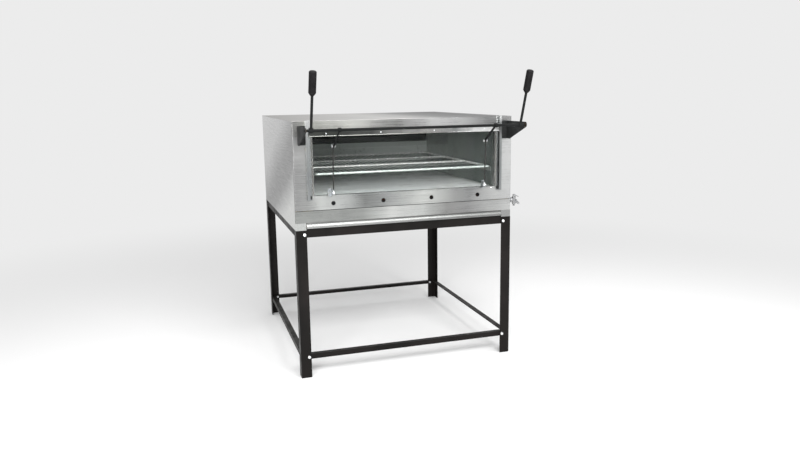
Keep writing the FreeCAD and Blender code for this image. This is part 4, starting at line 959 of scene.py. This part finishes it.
def solids_in(node):
    """Lowest and highest corner of each separate solid in a CAD node, from left to right."""
    shape = bmesh.new()
    shape.from_mesh(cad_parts[node].data)
    bmesh.ops.remove_doubles(shape, verts=shape.verts, dist=1e-6)
    left = set(shape.verts)
    found = []
    while left:
        reached = [left.pop()]
        corners = []
        while reached:
            vertex = reached.pop()
            corners.append(vertex.co.copy())
            for edge in vertex.link_edges:
                other = edge.other_vert(vertex)
                if other in left:
                    left.remove(other)
                    reached.append(other)
        found.append(tuple(Vector([end(corner[i] for corner in corners) for i in range(3)])
                           for end in (min, max)))
    shape.free()
    return sorted(found, key=lambda solid: (round(solid[0].x, 4), round(solid[0].z, 4)))


def cap_nut(shape, flats, height):
    """Hexagon cap nut: chamfered hexagon under a rounded dome."""
    hexagon_head(shape, flats, 0.0, height * 0.55)
    turned(shape, [(flats * 0.46, height * 0.5), (flats * 0.44, height * 0.68), (flats * 0.34, height * 0.86),
                   (flats * 0.18, height * 0.97), (flats * 0.05, height)], 20)


def pivot_bolt(shape, low, high, outward):
    """Bolt along X of a rod's joint: hexagon head outside, plain shank, cap nut on the inner side."""
    length = (high.x - low.x) / mm
    flats, shank_r, head_height, nut_height = 12.0, 3.0, 3.9, 4.5
    bolt = bmesh.new()
    hexagon_head(bolt, flats, 0.0, head_height)
    turn = Matrix.Translation((0, 0, head_height * mm)) @ Matrix.Rotation(math.pi, 4, "X")
    bmesh.ops.transform(bolt, matrix=turn, verts=bolt.verts)
    turned(bolt, [(shank_r, head_height - 0.4), (shank_r, length - nut_height + 0.5)], 20)
    nut = bmesh.new()
    cap_nut(nut, flats, nut_height)
    add_to(bolt, nut, Matrix.Translation((0, 0, (length - nut_height) * mm)))
    face = low.x if outward < 0 else high.x
    add_to(shape, bolt, stand_on((face, (low.y + high.y) / 2, (low.z + high.z) / 2), (-outward, 0, 0)))


for side, outward in (("left", -1), ("right", 1)):
    bolts = bmesh.new()
    for low, high in solids_in("rod_bolts_" + side):
        pivot_bolt(bolts, low, high, outward)
    piece = piece_of(f"rod_pivot_bolts_{side}", bolts, bright_zinc, "rod_" + side)
    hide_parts("rod_bolts_" + side)


def bracket_screw(shape):
    """Hexagon flange screw: head with a collar, drawn with its seat at zero."""
    turned(shape, [(6.2, 0.0), (6.3, 0.5), (5.4, 1.1)], 28)
    hexagon_head(shape, 9.4, 0.9, 4.0)


def panel_screw(shape):
    """Pan head with a fine cross on its crown, drawn with its seat at zero."""
    turned(shape, [(3.9, 0.0), (4.0, 0.4), (3.7, 1.3), (2.9, 2.0), (1.6, 2.3)], 24)
    for turn in (0.0, math.pi / 2):
        arm = bmesh.ops.create_cube(shape, size=1.0)["verts"]
        bmesh.ops.scale(shape, vec=(3.2 * mm, 0.7 * mm, 0.5 * mm), verts=arm)
        bmesh.ops.rotate(shape, matrix=Matrix.Rotation(turn, 3, "Z"), verts=arm)
        bmesh.ops.translate(shape, vec=(0, 0, 2.12 * mm), verts=arm)


bracket_head = 4 * mm
panel_head = 2.4 * mm
bracket_places = []
panel_places = []
for low, high in solids_in("casing_screws"):
    middle = (low + high) / 2
    if middle.y < 0:
        bracket_places.append(stand_on((middle.x, low.y + bracket_head, middle.z), (0, -1, 0)))
    else:
        panel_places.append(stand_on((middle.x, high.y - panel_head, middle.z), (0, 1, 0)))
bracket_screws = piece_of("bracket_screws", copies(bracket_screw, bracket_places), lift_black, "body_root")
panel_screws = piece_of("panel_screws", copies(panel_screw, panel_places), bright_zinc, "body_root")
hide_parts("casing_screws")
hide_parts("casing_screws")


def grip_finish():
    """Moulded black plastic with a fine pebbled surface, rubbed grey at its edges."""
    material, tree = finish_of("grip plastic", Specular_IOR_Level=0.1)
    tone = patchy(tree, 0.02, detail=4.0)
    rub = use(tree, edge_wear_and_highlight, width=2.0 * mm, patch=0.01, amount=0.4)["Mask"]
    pebble = put(tree, "TexVoronoi", {"Vector": coords(tree), "Scale": 1400.0}).outputs["Distance"]
    feed(material, Base_Color=blended(tree, rub, blended(tree, tone, "0f0e0f", "171617"), "4b494a"),
         Roughness=spread(tree, tone, 0.0, 1.0, 0.45, 0.6), Normal=bumped(tree, pebble, 0.15, 0.15 * mm))
    return material


dress(grip_finish(), "grip_left", "grip_right")

# Studio. A pale seamless floor, a soft light from every side, four large soft lamps, and the camera at
# the photograph's viewing angle.
backdrop = linear("ececec")
floor_shape = bmesh.new()
floor_r = 14.0
floor_ring = ring_round(floor_shape, Vector(), Vector((floor_r, 0, 0)), Vector((0, floor_r, 0)), 64)
floor_shape.faces.new(floor_ring)
floor_mesh = bpy.data.meshes.new("studio_floor")
floor_shape.to_mesh(floor_mesh)
floor_shape.free()
floor = placed("studio_floor", floor_mesh)


def floor_finish():
    """Matt pale floor near the object that fades into the backdrop's own colour."""
    material = bpy.data.materials.new("studio floor")
    tree = emptied(material)
    away = put(tree, "VectorMath", {0: coords(tree)}, operation="LENGTH").outputs["Value"]
    matt = put(tree, "BsdfDiffuse", {"Color": backdrop}).outputs[0]
    glow = put(tree, "Emission", {"Color": backdrop, "Strength": 1.0}).outputs[0]
    mix = put(tree, "MixShader", {0: spread(tree, away, 1.2, 4.5), 1: matt, 2: glow}).outputs[0]
    put(tree, "OutputMaterial", {"Surface": mix})
    return material


floor_mesh.materials.append(floor_finish())

world = bpy.data.worlds.new("studio")
sky = emptied(world)
path = put(sky, "LightPath").outputs
mirrored = calc(sky, "ADD", path["Is Glossy Ray"], path["Is Transmission Ray"])
seen = calc(sky, "ADD", path["Is Camera Ray"], mirrored, True)
soft = put(sky, "Background", {"Color": (1, 1, 1, 1), "Strength": 0.62}).outputs[0]
shown = put(sky, "Background", {"Color": backdrop, "Strength": 1.0}).outputs[0]
mixed = put(sky, "MixShader", {0: seen, 1: soft, 2: shown}).outputs[0]
put(sky, "OutputWorld", {"Surface": mixed})
bpy.context.scene.world = world
aim = Vector((0.0, -0.2, 0.8))


def lamp(name, place, width, height, power):
    """Soft rectangular lamp that looks at the object."""
    light = bpy.data.lights.new(name, "AREA")
    light.shape = "RECTANGLE"
    light.size = width
    light.size_y = height
    light.energy = power
    stand = placed(name, light)
    stand.location = place
    stand.rotation_euler = (aim - Vector(place)).to_track_quat("-Z", "Y").to_euler()


lamp("lamp_front_left", (-2.2, -3.9, 1.7), 1.5, 1.2, 125)
lamp("lamp_front_high", (0.1, -3.4, 2.8), 2.6, 1.2, 150)
lamp("lamp_front_right", (3.0, -3.0, 2.4), 2.2, 2.0, 45)
lamp("lamp_overhead", (0.2, -0.1, 3.8), 3.0, 2.4, 25)

camera_place = (-1.0929, -3.6749, 1.3496)
camera_yaw = 17.33
camera_pitch = 10.44
camera_roll = -0.834
camera_focal = 710.4
frame_width = 800
view = bpy.data.cameras.new("photograph view")
view.sensor_fit = "HORIZONTAL"
view.sensor_width = 36.0
view.lens = camera_focal / frame_width * view.sensor_width
camera = placed("photograph_camera", view)
turn = (Matrix.Rotation(math.radians(-camera_yaw), 3, "Z")
        @ Matrix.Rotation(math.radians(90 - camera_pitch), 3, "X")
        @ Matrix.Rotation(math.radians(camera_roll), 3, "Z"))
camera.location = camera_place
camera.rotation_euler = turn.to_euler()
bpy.context.scene.camera = camera
bpy.context.scene.view_settings.view_transform = "Standard"
